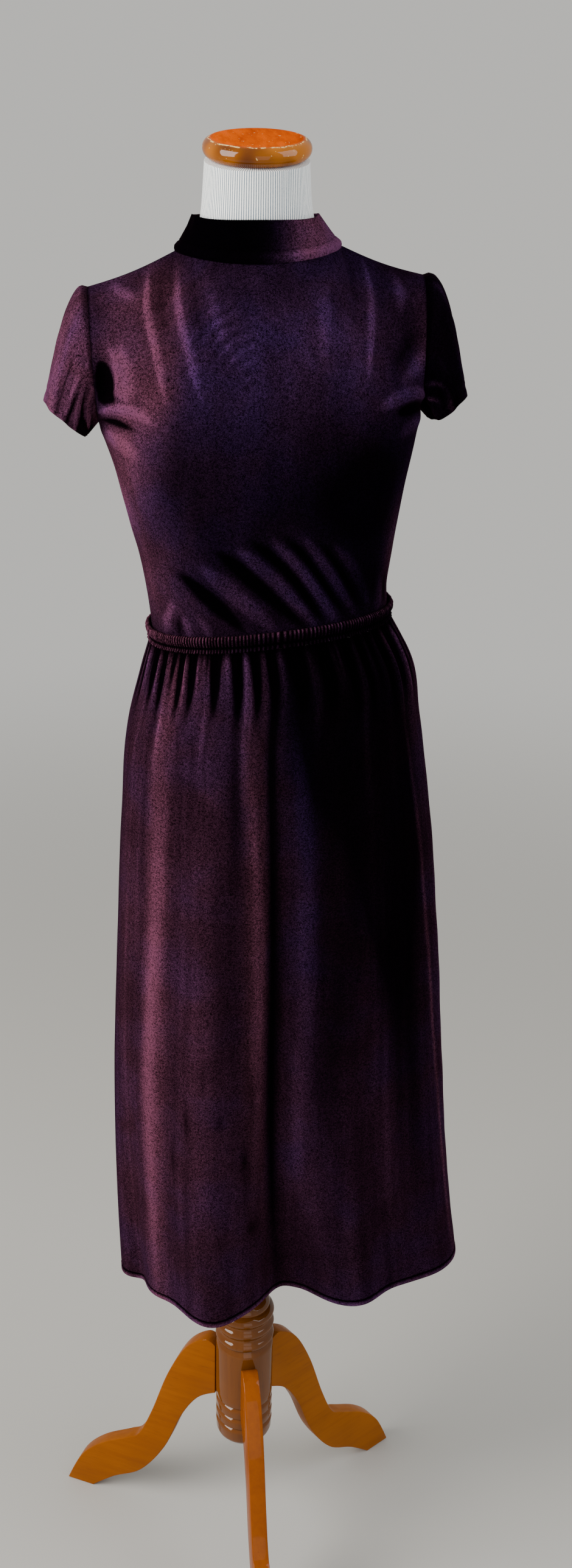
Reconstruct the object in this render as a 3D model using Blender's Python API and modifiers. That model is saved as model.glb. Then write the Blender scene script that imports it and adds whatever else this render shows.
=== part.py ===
"""Velvet dress with a stand-up collar, cap sleeves and a gathered skirt, worn on a limbless
dress form with a neck cap and a wooden tripod stand.

Metres, +Z up, the front faces -Y, and +X is the viewer's right. The tables are measured from the
form's upright axis. The whole part stands on the floor at Z = 0, with its box centred on the origin.
"""

import math
from collections import namedtuple

import bmesh
import bpy
import numpy as np

# Driving dimensions
WALL = 0.0015  # velvet panel, one layer
COLLAR_WALL = 0.0024  # collar, two layers
SEAM_GAP = 0.0003
ARMHOLE_GAP = 0.00035
FORM_GAP = 0.0008  # under the shoulders, where the dress hangs on the form
FORM_EASE = 0.0060  # where the cloth only hangs past the form
ARM_EASE = 0.0040  # more of it towards the side seams
SEAT_START, SEAT_END = 0.86, 0.98  # share of the way up from waist to neck
SHOULDER_TIP = (0.164, 1.610)  # distance from the middle, height
NECK_POINT = (0.0785, 1.6405)
CHEST_MIDDLE_X = 0.002
SHOULDER_RISE = 0.048  # rise of the shoulder line per metre towards +X
NECKLINE_DROP = {"front": 0.013, "back": 0.004}
NECKLINE_DEPTH = {"front": 0.066, "back": 0.060}
ARMHOLE_DEPTH = {"front": 0.055, "back": 0.050}
ARMHOLE_HOLLOW = {"left": -0.002, "right": 0.007}  # how far it curves in towards the neck
SHOULDER_ROUND = 2.2  # higher is a squarer shoulder
PLAN_POWER = 2.35  # plan of the figure, 2 is an ellipse
NECK_SHARE = 0.36  # share of a panel's width under the neckline
COLLAR_HEIGHT = {"front": 0.037, "side": 0.030, "back": 0.037}
COLLAR_FALL = 0.028  # its top edge falls by this much per metre towards +X
COLLAR_SHIFT = -0.0010  # its top edge sits off the middle
COLLAR_TOP = {"width": 0.0583, "front": 0.0560, "back": 0.0550}  # its inner face
COLLAR_RIDGE = 0.0022
SLEEVE_HEM = {"reach": 0.0450, "drop": 0.1060, "tuck": 0.0120, "underarm": 0.0130, "depth": 0.052}
SLEEVE_HEAD = {-1: 0.012, 1: 0.015}  # by hand, -1 at the left
HEAD_START = 0.5  # lower puts the swell of the sleeve head nearer its seam
HEAD_OUT, HEAD_UP = 0.8, 0.6  # its shares outwards and upwards
PLEAT_EASE = 1.2  # higher opens the sleeve's folds nearer its hem
CASING_GATHERS = 112
CASING_RAISE = 0.0009
CASING_TOP_Z = 1.2855
CASING_HEIGHT = 0.0170
CREASE_RUN_OUT = 0.016  # creases fade over this height above the casing
CREASE_FADE = (0.30, 0.20)  # shares of a crease's length over which it rises and ends
CREASE_PAST = 1.12  # where it has ended, in lengths
SKIRT_TOP_Z = CASING_TOP_Z - CASING_HEIGHT - SEAM_GAP
SKIRT_HEM_WALL = 0.0022  # turned up twice
HEM_TOP_Z = 0.470
GATHER_WIDTH = 0.032  # half width of a ridge, in places
GATHER_SINK = 0.25  # depth of its valleys, as a share of its height
GATHER_REACH = 0.09
GATHER_START = 0.35  # share of its height already there at the casing
GATHER_RISE = 2.6  # higher brings the rest of it sooner
WAVE_EASE = 1.5  # higher opens the hem's folds lower down
SMOOTH_BELOW = math.radians(50)  # edges that turn more than this stay sharp
NECK_TOP_Z = 1.7185
NECK_TOP_RADIUS = 0.0500
NECK_LEAN = math.radians(14.0)  # forward
NECK_TURN = math.radians(8.0)  # and turned this far towards -X
NECK_SWELL = (0.0050, 0.0035)  # how much wider and deeper the neck is at its foot
NECK_FLARE = 6  # higher spreads onto the shoulders more suddenly
NECK_RINGS = (0.08, 0.20, 0.45, 0.75, 1.0)
CAP_RADIUS = 0.0520
CAP_THICK = 0.0180
COLUMN_RADIUS = 0.0365
COLUMN_BOTTOM = 0.1760
COLUMN_TOP = 0.3960
POLE_RADIUS = 0.0130
LEG_THICK = 0.0200
LEG_EDGE = 0.0020
LEG_ANGLES = {"leg_front": -88, "leg_right": 32, "leg_left": 152}

Level = namedtuple("Level", "z half_width middle_x front back rise")
# Outside of the dress from the waist to the underarm, at its middle
BODICE_LEVELS = (
    Level(1.2760, 0.1225, 0.0180, 0.094, 0.090, 0.110),
    Level(1.3050, 0.1240, 0.0160, 0.096, 0.090, 0.100),
    Level(1.3450, 0.1295, 0.0145, 0.103, 0.094, 0.085),
    Level(1.3850, 0.1370, 0.0120, 0.112, 0.098, 0.070),
    Level(1.4350, 0.1480, 0.0095, 0.119, 0.102, 0.060),
    Level(1.4845, 0.1610, 0.0060, 0.117, 0.104, 0.052),
)
# Outside of the skirt from below the waist casing to the hem
SKIRT_LEVELS = (
    Level(SKIRT_TOP_Z, 0.1255, 0.0185, 0.097, 0.093, 0.107),
    Level(1.2250, 0.1440, 0.0250, 0.104, 0.101, 0.080),
    Level(1.1650, 0.1570, 0.0240, 0.108, 0.106, 0.050),
    Level(1.0700, 0.1690, 0.0280, 0.109, 0.109, 0.030),
    Level(0.9200, 0.1820, 0.0330, 0.106, 0.110, 0.025),
    Level(0.7300, 0.1945, 0.0375, 0.100, 0.108, 0.023),
    Level(0.5500, 0.2040, 0.0470, 0.094, 0.105, 0.023),
    Level(0.4560, 0.2095, 0.0550, 0.090, 0.102, 0.023),
)
# Outside of the form under the skirt, down to its flat base
HIP_LEVELS = (
    Level(0.9200, 0.1180, 0.0080, 0.078, 0.082, 0.0),
    Level(0.9350, 0.1290, 0.0090, 0.084, 0.089, 0.0),
    Level(1.0000, 0.1370, 0.0120, 0.090, 0.096, 0.0),
    Level(1.0900, 0.1400, 0.0140, 0.092, 0.098, 0.0),
    Level(1.1700, 0.1350, 0.0160, 0.091, 0.094, 0.030),
    Level(1.2300, 0.1200, 0.0175, 0.087, 0.086, 0.080),
)

Crease = namedtuple("Crease", "start_x start_z end_x end_z height half_width")
# Creases of the bodice seen from the front; a negative height is a trough
FRONT_CREASES = (
    Crease(-0.066, 1.356, 0.020, 1.280, 0.0038, 0.008),
    Crease(-0.034, 1.371, 0.059, 1.283, 0.0042, 0.008),
    Crease(0.000, 1.380, 0.078, 1.289, 0.0042, 0.008),
    Crease(0.033, 1.381, 0.098, 1.293, 0.0038, 0.008),
    Crease(0.064, 1.373, 0.114, 1.297, 0.0030, 0.007),
    Crease(-0.103, 1.624, -0.099, 1.535, 0.0038, 0.007),
    Crease(-0.077, 1.632, -0.067, 1.525, 0.0032, 0.007),
    Crease(0.060, 1.630, 0.052, 1.545, 0.0022, 0.008),
    Crease(0.102, 1.632, 0.099, 1.555, 0.0030, 0.007),
    Crease(-0.160, 1.489, -0.100, 1.490, 0.0040, 0.008),
    Crease(-0.154, 1.474, -0.110, 1.455, 0.0030, 0.008),
    Crease(0.164, 1.504, 0.102, 1.505, 0.0040, 0.008),
    Crease(0.158, 1.488, 0.106, 1.474, 0.0030, 0.008),
    Crease(-0.148, 1.562, -0.144, 1.502, -0.0035, 0.009),
)
BACK_CREASES = (
    Crease(-0.100, 1.345, -0.010, 1.288, 0.0040, 0.009),
    Crease(0.110, 1.360, 0.030, 1.288, 0.0040, 0.009),
    Crease(-0.070, 1.310, 0.080, 1.316, 0.0035, 0.009),
    Crease(-0.150, 1.500, -0.095, 1.512, 0.0035, 0.009),
    Crease(0.154, 1.508, 0.098, 1.518, 0.0035, 0.009),
    Crease(-0.090, 1.620, -0.080, 1.540, 0.0025, 0.009),
    Crease(0.092, 1.626, 0.080, 1.545, 0.0025, 0.009),
)

Gather = namedtuple("Gather", "place height length")
# Gathers under the casing; place runs from -1 at the left side seam to 1 at the right one
FRONT_GATHERS = (
    Gather(-0.88, 0.0030, 0.060),
    Gather(-0.79, 0.0036, 0.075),
    Gather(-0.69, 0.0034, 0.060),
    Gather(-0.59, 0.0040, 0.110),
    Gather(-0.49, 0.0028, 0.045),
    Gather(-0.41, 0.0036, 0.065),
    Gather(-0.33, 0.0042, 0.090),
    Gather(-0.26, 0.0038, 0.060),
    Gather(-0.18, 0.0032, 0.055),
    Gather(-0.10, 0.0055, 0.170),
    Gather(0.00, 0.0034, 0.070),
    Gather(0.10, 0.0040, 0.100),
    Gather(0.21, 0.0032, 0.060),
    Gather(0.32, 0.0038, 0.120),
    Gather(0.44, 0.0034, 0.070),
    Gather(0.57, 0.0040, 0.090),
    Gather(0.71, 0.0034, 0.060),
    Gather(0.86, 0.0036, 0.110),
)
BACK_GATHERS = tuple(
    Gather(-0.88 + 0.11 * i, 0.0036 + 0.0009 * math.sin(2.1 * i), 0.085 + 0.035 * math.cos(1.7 * i))
    for i in range(17)
)

Wave = namedtuple("Wave", "place depth half_width start_z")
# Folds that open towards the hem; a negative depth is a fold that falls inwards
FRONT_WAVES = (
    Wave(-0.78, -0.020, 0.14, 0.90),
    Wave(-0.28, 0.040, 0.14, 1.16),
    Wave(-0.03, -0.030, 0.075, 1.10),
    Wave(0.17, 0.022, 0.11, 1.12),
    Wave(0.66, 0.007, 0.30, 1.00),
)
BACK_WAVES = (
    Wave(-0.52, 0.030, 0.18, 1.12),
    Wave(-0.16, -0.022, 0.14, 1.05),
    Wave(0.16, 0.030, 0.17, 1.14),
    Wave(0.47, -0.018, 0.13, 0.98),
    Wave(0.74, 0.018, 0.15, 1.00),
)
Pleat = namedtuple("Pleat", "turn height half_width")
# Soft folds of a sleeve; turn is degrees round the armhole, 0 under the arm, 90 front, 180 shoulder
SLEEVE_PLEATS = (
    Pleat(52, 0.0040, 16),
    Pleat(92, -0.0030, 15),
    Pleat(128, 0.0026, 15),
    Pleat(180, 0.0016, 22),
    Pleat(236, 0.0026, 16),
    Pleat(272, -0.0030, 15),
    Pleat(310, 0.0036, 16),
)

RingPoint = namedtuple("RingPoint", "radius z")
# Outline of the turned column, top to bottom
COLUMN_PROFILE = (
    RingPoint(0.0145, COLUMN_TOP),
    RingPoint(0.0270, 0.3930),
    RingPoint(0.0330, 0.3850),
    RingPoint(0.0300, 0.3800),
    RingPoint(0.0372, 0.3730),
    RingPoint(0.0330, 0.3650),
    RingPoint(0.0374, 0.3560),
    RingPoint(0.0335, 0.3460),
    RingPoint(0.0374, 0.3370),
    RingPoint(COLUMN_RADIUS, 0.3270),
    RingPoint(COLUMN_RADIUS, 0.2440),
    RingPoint(0.0335, 0.2390),
    RingPoint(COLUMN_RADIUS, 0.2340),
    RingPoint(0.0335, 0.2220),
    RingPoint(COLUMN_RADIUS, 0.2170),
    RingPoint(0.0335, 0.2050),
    RingPoint(COLUMN_RADIUS, 0.2000),
    RingPoint(0.0355, 0.1850),
    RingPoint(0.0300, 0.1780),
    RingPoint(0.0220, COLUMN_BOTTOM),
)
LegPoint = namedtuple("LegPoint", "reach z corner")
# Side view of a leg, from the column over the top edge to the toe and back underneath
LEG_OUTLINE = (
    LegPoint(COLUMN_RADIUS + SEAM_GAP, 0.3060, True),
    LegPoint(0.0520, 0.3125, False),
    LegPoint(0.0800, 0.2890, False),
    LegPoint(0.1060, 0.2370, False),
    LegPoint(0.1300, 0.1660, False),
    LegPoint(0.1500, 0.1200, False),
    LegPoint(0.1700, 0.1050, False),
    LegPoint(0.2100, 0.0800, False),
    LegPoint(0.2400, 0.0480, False),
    LegPoint(0.2620, 0.0000, True),
    LegPoint(0.2230, 0.0000, True),
    LegPoint(0.1900, 0.0280, False),
    LegPoint(0.1480, 0.0560, False),
    LegPoint(0.1120, 0.1090, False),
    LegPoint(0.0860, 0.1740, False),
    LegPoint(0.0620, 0.2130, False),
    LegPoint(COLUMN_RADIUS + SEAM_GAP, 0.2295, True),
)

# How finely each surface is divided
CREASED_TOP_Z = 1.386  # the waist creases end below this height
ROWS_BELOW_ARM = {"front": (11, 5), "back": (8, 3), "form": (3, 3)}
ROWS_ABOVE_ARM = 9
COLUMNS = {"front": (7, 14), "back": (5, 10), "form": (4, 10)}  # each shoulder, neckline
SLEEVE_ROWS = 5
SKIRT_ROWS = (SKIRT_TOP_Z, 1.2540, 1.2320, 1.2080, 1.1750, 1.1300, 1.0700, 0.9900, 0.8900, 0.7700,
              0.6500, 0.5500, 0.4960, 0.4640, 0.4560)
TURNED_STEPS = 22
SIDES = {"front": -1, "back": 1}


def through(knots, values, at):
    """A smooth curve through a table's values: cubic, with slopes taken from the neighbours."""
    knots, values = np.asarray(knots, float), np.asarray(values, float)
    slopes = np.gradient(values, knots)
    i = np.clip(np.searchsorted(knots, at) - 1, 0, len(knots) - 2)
    span = knots[i + 1] - knots[i]
    t = np.clip((at - knots[i]) / span, 0, 1)
    start = (1 + 2 * t) * (1 - t) ** 2 * values[i] + t * (1 - t) ** 2 * span * slopes[i]
    end = t * t * (3 - 2 * t) * values[i + 1] - t * t * (1 - t) * span * slopes[i + 1]
    return start + end


def level_at(levels, z):
    """The table's row at any height, worked out between its neighbours."""
    rows = sorted(levels)
    knots = [row.z for row in rows]
    return Level(z, *(through(knots, [getattr(row, name) for row in rows], z)
                      for name in Level._fields[1:]))


def ring_point(level, side, place):
    """Point of a level's outline; place is -1 at the left side seam, 0 in the middle, 1 at the right."""
    angle = np.asarray(place) * math.pi / 2
    depth = level.front if side == "front" else level.back
    x = level.half_width * np.sign(angle) * np.abs(np.sin(angle)) ** (2 / PLAN_POWER)
    y = SIDES[side] * depth * np.abs(np.cos(angle)) ** (2 / PLAN_POWER)
    return np.stack([level.middle_x + x, y, level.z + level.rise * x], axis=-1)


def neck_and_shoulders(side, place):
    """The top edge of a bodice panel: shoulder seam, neckline, shoulder seam."""
    place = np.asarray(place)
    out = np.clip((np.abs(place) - NECK_SHARE) / (1 - NECK_SHARE), 0, 1)
    angle = np.clip(place / NECK_SHARE, -1, 1) * math.pi / 2
    sag = 0.003 * np.sin(math.pi * out)
    reach = NECK_POINT[0] + out * (SHOULDER_TIP[0] - NECK_POINT[0])
    x = np.where(out > 0, np.sign(place) * reach, NECK_POINT[0] * np.sin(angle))
    y = np.where(out > 0, 0, SIDES[side] * NECKLINE_DEPTH[side] * np.cos(angle))
    z = np.where(out > 0, NECK_POINT[1] + out * (SHOULDER_TIP[1] - NECK_POINT[1]) - sag,
                 NECK_POINT[1] - NECKLINE_DROP[side] * np.cos(angle) ** 1.5)
    return np.stack([CHEST_MIDDLE_X + x, y, z + SHOULDER_RISE * x], axis=-1)


def upper_point(side, place, up):
    """Point of the figure above the underarm; up is 0 at the underarm and 1 at the top edge."""
    place = np.asarray(place, float)
    low = ring_point(BODICE_LEVELS[-1], side, place)
    top = neck_and_shoulders(side, place)
    near_arm = np.abs(place) ** 4
    rise = up * (1 - near_arm) + (1 - math.cos(math.pi * up)) / 2 * near_arm
    swell = math.sin(math.pi * up)
    hollow = np.where(place < 0, ARMHOLE_HOLLOW["left"], ARMHOLE_HOLLOW["right"])
    x = low[..., 0] * (1 - rise) + top[..., 0] * rise - np.sign(place) * near_arm * hollow * swell
    y = top[..., 1] + (low[..., 1] - top[..., 1]) * (1 - up ** SHOULDER_ROUND)
    y = y + SIDES[side] * ARMHOLE_DEPTH[side] * swell * near_arm
    z = low[..., 2] * (1 - rise) + top[..., 2] * rise
    return np.stack([x, y, z], axis=-1)


def columns(piece):
    """Places of a bodice piece's columns, with one at each neck point."""
    shoulder, neckline = COLUMNS[piece]
    arm = np.linspace(1, NECK_SHARE, shoulder + 1)
    neck = np.linspace(-NECK_SHARE, NECK_SHARE, neckline + 1)
    return np.concatenate([-arm, neck[1:-1], arm[::-1]])


def row_heights(piece):
    """Heights of a bodice piece's rows from the waist to the underarm."""
    low, high = ROWS_BELOW_ARM[piece]
    creased = np.linspace(BODICE_LEVELS[0].z, CREASED_TOP_Z, low + 1)
    return np.concatenate([creased[:-1], np.linspace(CREASED_TOP_Z, BODICE_LEVELS[-1].z, high + 1)])


def figure_grid(side, piece):
    """The dress's outside from the waist to the shoulders, rows upwards."""
    places = columns(piece)
    rows = [ring_point(level_at(BODICE_LEVELS, z), side, places) for z in row_heights(piece)]
    ups = np.linspace(0, 1, ROWS_ABOVE_ARM + 1)[1:]
    return np.array(rows + [upper_point(side, places, up) for up in ups])


def figure_normals(grid, side, piece):
    """Outward normals; where front and back meet they lie in the plane of the seam."""
    normal = outward(grid, side)
    seams = np.zeros(grid.shape[:2], bool)
    seams[:-ROWS_ABOVE_ARM, [0, -1]] = True
    seams[-1, np.abs(columns(piece)) >= NECK_SHARE - 1e-6] = True
    normal[seams, 1] = 0
    return normal / np.linalg.norm(normal, axis=-1, keepdims=True), seams


def outward(grid, side):
    """Unit normals of a panel grid whose rows run upwards and columns towards +X."""
    normal = np.cross(np.gradient(grid, axis=1), np.gradient(grid, axis=0))
    if side == "back":
        normal = -normal
    return normal / np.linalg.norm(normal, axis=-1, keepdims=True)


def crease_height(creases, x, z):
    """Height of all creases at points of the front view."""
    total = np.zeros_like(x)
    for crease in creases:
        run = np.array([crease.end_x - crease.start_x, crease.end_z - crease.start_z])
        length = np.linalg.norm(run)
        dx, dz = x - crease.start_x, z - crease.start_z
        along = (dx * run[0] + dz * run[1]) / length**2
        across = (dx * run[1] - dz * run[0]) / length
        fade = np.clip(np.minimum(along / CREASE_FADE[0], (CREASE_PAST - along) / CREASE_FADE[1]), 0, 1)
        fade = fade * fade * (3 - 2 * fade)
        total += crease.height * fade * np.exp(-((across / crease.half_width) ** 2))
    return total


def new_object(name, verts, faces, material):
    mesh = bpy.data.meshes.new(name)
    mesh.from_pydata([tuple(map(float, v)) for v in verts], [], faces)
    mesh.validate()
    obj = bpy.data.objects.new(name, mesh)
    mesh.materials.append(material)
    mesh.shade_smooth()
    mesh.set_sharp_from_angle(angle=SMOOTH_BELOW)
    PARTS.objects.link(obj)
    obj.parent = ROOT
    return obj


def recalculate(obj):
    """Turns every face of a closed mesh outwards."""
    shape = bmesh.new()
    shape.from_mesh(obj.data)
    bmesh.ops.recalc_face_normals(shape, faces=shape.faces)
    shape.to_mesh(obj.data)
    shape.free()
    return obj


def grid_faces(rows, cols, wrap, first=0):
    """Quads between neighbouring rows and columns of a grid of vertices."""
    reach = cols if wrap else cols - 1
    return [
        (first + r * cols + c, first + r * cols + (c + 1) % cols,
         first + (r + 1) * cols + (c + 1) % cols, first + (r + 1) * cols + c)
        for r in range(rows - 1)
        for c in range(reach)
    ]


def cloth_wall(name, outer, inner, material, wrap=False):
    """A wall between two grids of the same shape, closed along every free edge."""
    rows, cols = outer.shape[:2]
    count = rows * cols
    faces = grid_faces(rows, cols, wrap)
    faces += [tuple(reversed(face)) for face in grid_faces(rows, cols, wrap, count)]
    across = [(c, (c + 1) % cols) for c in range(cols if wrap else cols - 1)]
    rim = list(across)
    rim += [((rows - 1) * cols + b, (rows - 1) * cols + a) for a, b in across]
    if not wrap:
        rim += [((r + 1) * cols, r * cols) for r in range(rows - 1)]
        rim += [(r * cols + cols - 1, (r + 1) * cols + cols - 1) for r in range(rows - 1)]
    faces += [(b, a, a + count, b + count) for a, b in rim]
    verts = np.concatenate([outer.reshape(-1, 3), inner.reshape(-1, 3)])
    return recalculate(new_object(name, verts, faces, material))


def bodice_grids(side):
    """Outer and inner grid of a bodice panel, with its creases."""
    grid = figure_grid(side, side)
    normal, seams = figure_normals(grid, side, side)
    creases = FRONT_CREASES if side == "front" else BACK_CREASES
    raised = crease_height(creases, grid[..., 0], grid[..., 2])
    raised[seams] = 0
    raised[-1] = 0
    heights = row_heights(side)
    raised[: len(heights)] *= np.clip((heights - CASING_TOP_Z) / CREASE_RUN_OUT, 0, 1)[:, None]
    outer = grid + normal * raised[..., None]
    outer[..., 1] += SIDES[side] * SEAM_GAP / 2
    return outer, outer - normal * WALL


def make_bodice():
    grids = {side: bodice_grids(side) for side in SIDES}
    for side, (outer, inner) in grids.items():
        cloth_wall("bodice_" + side, outer, inner, VELVET)
    return grids


def armhole_loop(grids, layer, hand):
    """Armhole edge from the underarm up the front to the shoulder and down the back."""
    column = 0 if hand < 0 else -1
    front, back = (grids[side][layer][-ROWS_ABOVE_ARM - 1 :, column] for side in SIDES)
    under = (front[:1] + back[:1]) / 2
    over = (front[-1:] + back[-1:]) / 2
    return np.concatenate([under, front[1:-1], over, back[-2:0:-1]])


def make_sleeve(name, hand, grids):
    """A cap sleeve: rings from the armhole to the sleeve's hem."""
    outer_edge, inner_edge = (armhole_loop(grids, layer, hand) for layer in (0, 1))
    count = len(outer_edge)
    turn = np.arange(count) / count * 2 * math.pi
    high = (1 - np.cos(turn)) / 2
    under, over = outer_edge[0], outer_edge[count // 2]
    hem_under = under + [hand * SLEEVE_HEM["tuck"], 0, -SLEEVE_HEM["underarm"]]
    hem_over = over + [hand * SLEEVE_HEM["reach"], 0, -SLEEVE_HEM["drop"]]
    hem = hem_under + high[:, None] * (hem_over - hem_under)
    hem[:, 1] -= SLEEVE_HEM["depth"] * np.sin(turn)
    pleats = sum(
        p.height * np.exp(-((np.degrees(turn) - p.turn) / p.half_width) ** 2) for p in SLEEVE_PLEATS
    )
    steps = np.linspace(0, 1, SLEEVE_ROWS + 1)
    rings = []
    for step in steps:
        ring = outer_edge * (1 - step) + hem * step
        swell = SLEEVE_HEAD[hand] * math.sin(math.pi * step**HEAD_START) * high
        ring[:, 0] += hand * swell * HEAD_OUT
        ring[:, 2] += swell * HEAD_UP
        rings.append(ring)
    rings = np.array(rings)
    along = np.gradient(rings, axis=0)
    around = (np.roll(rings, -1, axis=1) - np.roll(rings, 1, axis=1)) / 2
    normal = np.cross(along, around) * hand
    normal /= np.linalg.norm(normal, axis=-1, keepdims=True)
    outer = rings + normal * (pleats[None, :] * steps[:, None] ** PLEAT_EASE)[..., None]
    inner = outer - normal * WALL
    inner[0] = inner_edge
    for grid in (outer, inner):
        grid[..., 0] += hand * ARMHOLE_GAP
        grid[..., 2] += ARMHOLE_GAP * np.clip(np.cos(turn), 0, 1)
    return cloth_wall(name, outer, inner, VELVET, wrap=True)


def neckline_loops(grids):
    """Neckline edge round the neck, its outward normals and the way up from it."""
    loops = []
    for layer in (0, 1):
        edges = []
        for side in SIDES:
            within = np.abs(columns(side)) <= NECK_SHARE + 1e-6
            edges.append(grids[side][layer][-1, within])
        front, back = edges
        left = (front[:1] + back[:1]) / 2
        right = (front[-1:] + back[-1:]) / 2
        loops.append(np.concatenate([left, front[1:-1], right, back[-2:0:-1]]))
    return loops


def make_collar(grids):
    """A stand-up band on the neckline, with a soft ridge along its lower seam."""
    outer_edge, inner_edge = neckline_loops(grids)
    angle = np.arctan2(outer_edge[:, 1], outer_edge[:, 0] - CHEST_MIDDLE_X)
    depth = np.where(np.sin(angle) < 0, COLLAR_TOP["front"], COLLAR_TOP["back"])
    height = np.where(np.sin(angle) < 0, COLLAR_HEIGHT["front"], COLLAR_HEIGHT["back"])
    height = COLLAR_HEIGHT["side"] + (height - COLLAR_HEIGHT["side"]) * np.sin(angle) ** 2
    height -= COLLAR_FALL * outer_edge[:, 0]
    top = np.stack([COLLAR_SHIFT + COLLAR_TOP["width"] * np.cos(angle), depth * np.sin(angle),
                    outer_edge[:, 2] + height], -1)
    way_out = np.stack([np.cos(angle), np.sin(angle), 0 * angle], -1)
    lift = np.array([0, 0, SEAM_GAP + WALL])
    base = inner_edge + lift + way_out * SEAM_GAP
    Step = namedtuple("Step", "up out")
    profile = (Step(0.0, 0.6), Step(0.06, 1.0), Step(0.16, 0.7), Step(0.26, 0.1), Step(0.62, 0.0), Step(1.0, 0.0))
    outer, inner = [], []
    for step in profile:
        ring = base * (1 - step.up) + top * step.up
        inner.append(ring)
        outer.append(ring + way_out * (COLLAR_WALL + COLLAR_RIDGE * step.out))
    return cloth_wall("collar", np.array(outer), np.array(inner), VELVET, wrap=True)


def whole_ring(level, count):
    """A level's full outline, anticlockwise seen from above, and its outward directions."""
    turn = np.arange(count) / count * 4 - 1
    front = ring_point(level, "front", np.clip(turn, -1, 1))
    back = ring_point(level, "back", np.clip(2 - turn, -1, 1))
    points = np.where((turn <= 1)[:, None], front, back)
    around = np.roll(points, -1, axis=0) - np.roll(points, 1, axis=0)
    out = np.cross(around, [0, 0, 1])
    return points, out / np.linalg.norm(out, axis=-1, keepdims=True)


def make_casing():
    """The ruched elastic casing: a band with a stitched line and a lip under it."""
    Corner = namedtuple("Corner", "out down raised")
    profile = (
        Corner(0.0010, 0.02, 0.0),
        Corner(0.0042, 0.00, 0.7),
        Corner(0.0064, 0.32, 1.0),
        Corner(0.0038, 0.74, 0.4),
        Corner(0.0052, 1.00, 1.0),
        Corner(0.0010, 1.00, 0.0),
    )
    count = CASING_GATHERS * 2
    ridge = np.where(np.arange(count) % 2, 1, -1)[:, None] * CASING_RAISE
    loops = []
    for corner in profile:
        z = CASING_TOP_Z - CASING_HEIGHT * corner.down
        level = level_at(BODICE_LEVELS, max(z, BODICE_LEVELS[0].z))
        points, out = whole_ring(level._replace(z=z, rise=BODICE_LEVELS[0].rise), count)
        loops.append(points + out * (corner.out + ridge * corner.raised))
    faces = grid_faces(len(profile), count, True)
    last = (len(profile) - 1) * count
    faces += [(last + c, last + (c + 1) % count, (c + 1) % count, c) for c in range(count)]
    return recalculate(new_object("waist_casing", np.concatenate(loops), faces, VELVET))


def gather_columns(gathers):
    """A column on each gather's ridge and one in each valley between them."""
    ridges = [gather.place for gather in gathers]
    valleys = [(a + b) / 2 for a, b in zip(ridges, ridges[1:])]
    return np.array(sorted([-1.0, 1.0] + ridges + valleys))


def gather_height(gathers, place, z):
    """Height of the gathers, ridges up and valleys a little down, fading below the casing."""
    total = np.zeros_like(place)
    for gather in gathers:
        drop = (SKIRT_LEVELS[0].z - z) / gather.length
        shape = np.exp(-((place - gather.place) / GATHER_WIDTH) ** 2) - GATHER_SINK
        near = np.exp(-((place - gather.place) / GATHER_REACH) ** 2)
        total += gather.height * shape * near * np.exp(-(drop**2)) * min(
            1, GATHER_START + GATHER_RISE * drop)
    return total


def wave_depth(waves, place, z):
    """Depth of the folds that open towards the hem."""
    total = np.zeros_like(place)
    for wave in waves:
        down = max(0.0, (wave.start_z - z) / (wave.start_z - SKIRT_LEVELS[-1].z))
        near = np.exp(-((place - wave.place) / wave.half_width) ** 2)
        total += wave.depth * down**WAVE_EASE * near
    return total


def skirt_grids(side):
    """Outer and inner grid of a skirt panel, rows downwards."""
    gathers, waves = (FRONT_GATHERS, FRONT_WAVES) if side == "front" else (BACK_GATHERS, BACK_WAVES)
    places = gather_columns(gathers)
    rows = []
    for z in SKIRT_ROWS:
        level = level_at(SKIRT_LEVELS, z)
        points = ring_point(level, side, places)
        slope = ring_point(level, side, places + 0.01) - ring_point(level, side, places - 0.01)
        slope[[0, -1]] = [0, -1, 0]
        out = np.cross(slope, [0, 0, 1])
        out /= np.linalg.norm(out, axis=-1, keepdims=True)
        out *= np.sign((out * (points - [level.middle_x, 0, 0])).sum(-1, keepdims=True))
        edge = 1 - np.abs(places) ** 8
        raised = (gather_height(gathers, places, z) + wave_depth(waves, places, z)) * edge
        rows.append((points + out * raised[:, None], out))
    outer = np.array([row[0] for row in rows])
    out = np.array([row[1] for row in rows])
    walls = np.where(np.array(SKIRT_ROWS) < HEM_TOP_Z, SKIRT_HEM_WALL, WALL)[:, None, None]
    outer[..., 1] += SIDES[side] * SEAM_GAP / 2
    return outer, outer - out * walls


def make_skirt():
    for side in SIDES:
        outer, inner = skirt_grids(side)
        cloth_wall("skirt_" + side, outer, inner, VELVET)


def form_side(side):
    """Grid of the form on one side, from its base to the neckline.

    It lies seated just inside the dress at the shoulders and easily inside it below.
    """
    places = columns("form")
    grid = figure_grid(side, "form")
    normal, _ = figure_normals(grid, side, "form")
    up = np.arange(len(grid)) / (len(grid) - 1)
    seat = np.clip((up - SEAT_START) / (SEAT_END - SEAT_START), 0, 1)[:, None]
    ease = FORM_EASE + ARM_EASE * places[None, :] ** 2
    depth = WALL + FORM_GAP * seat + ease * (1 - seat)
    hips = [ring_point(level, side, places) for level in HIP_LEVELS]
    return np.concatenate([np.array(hips), grid - normal * depth[..., None]])


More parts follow.
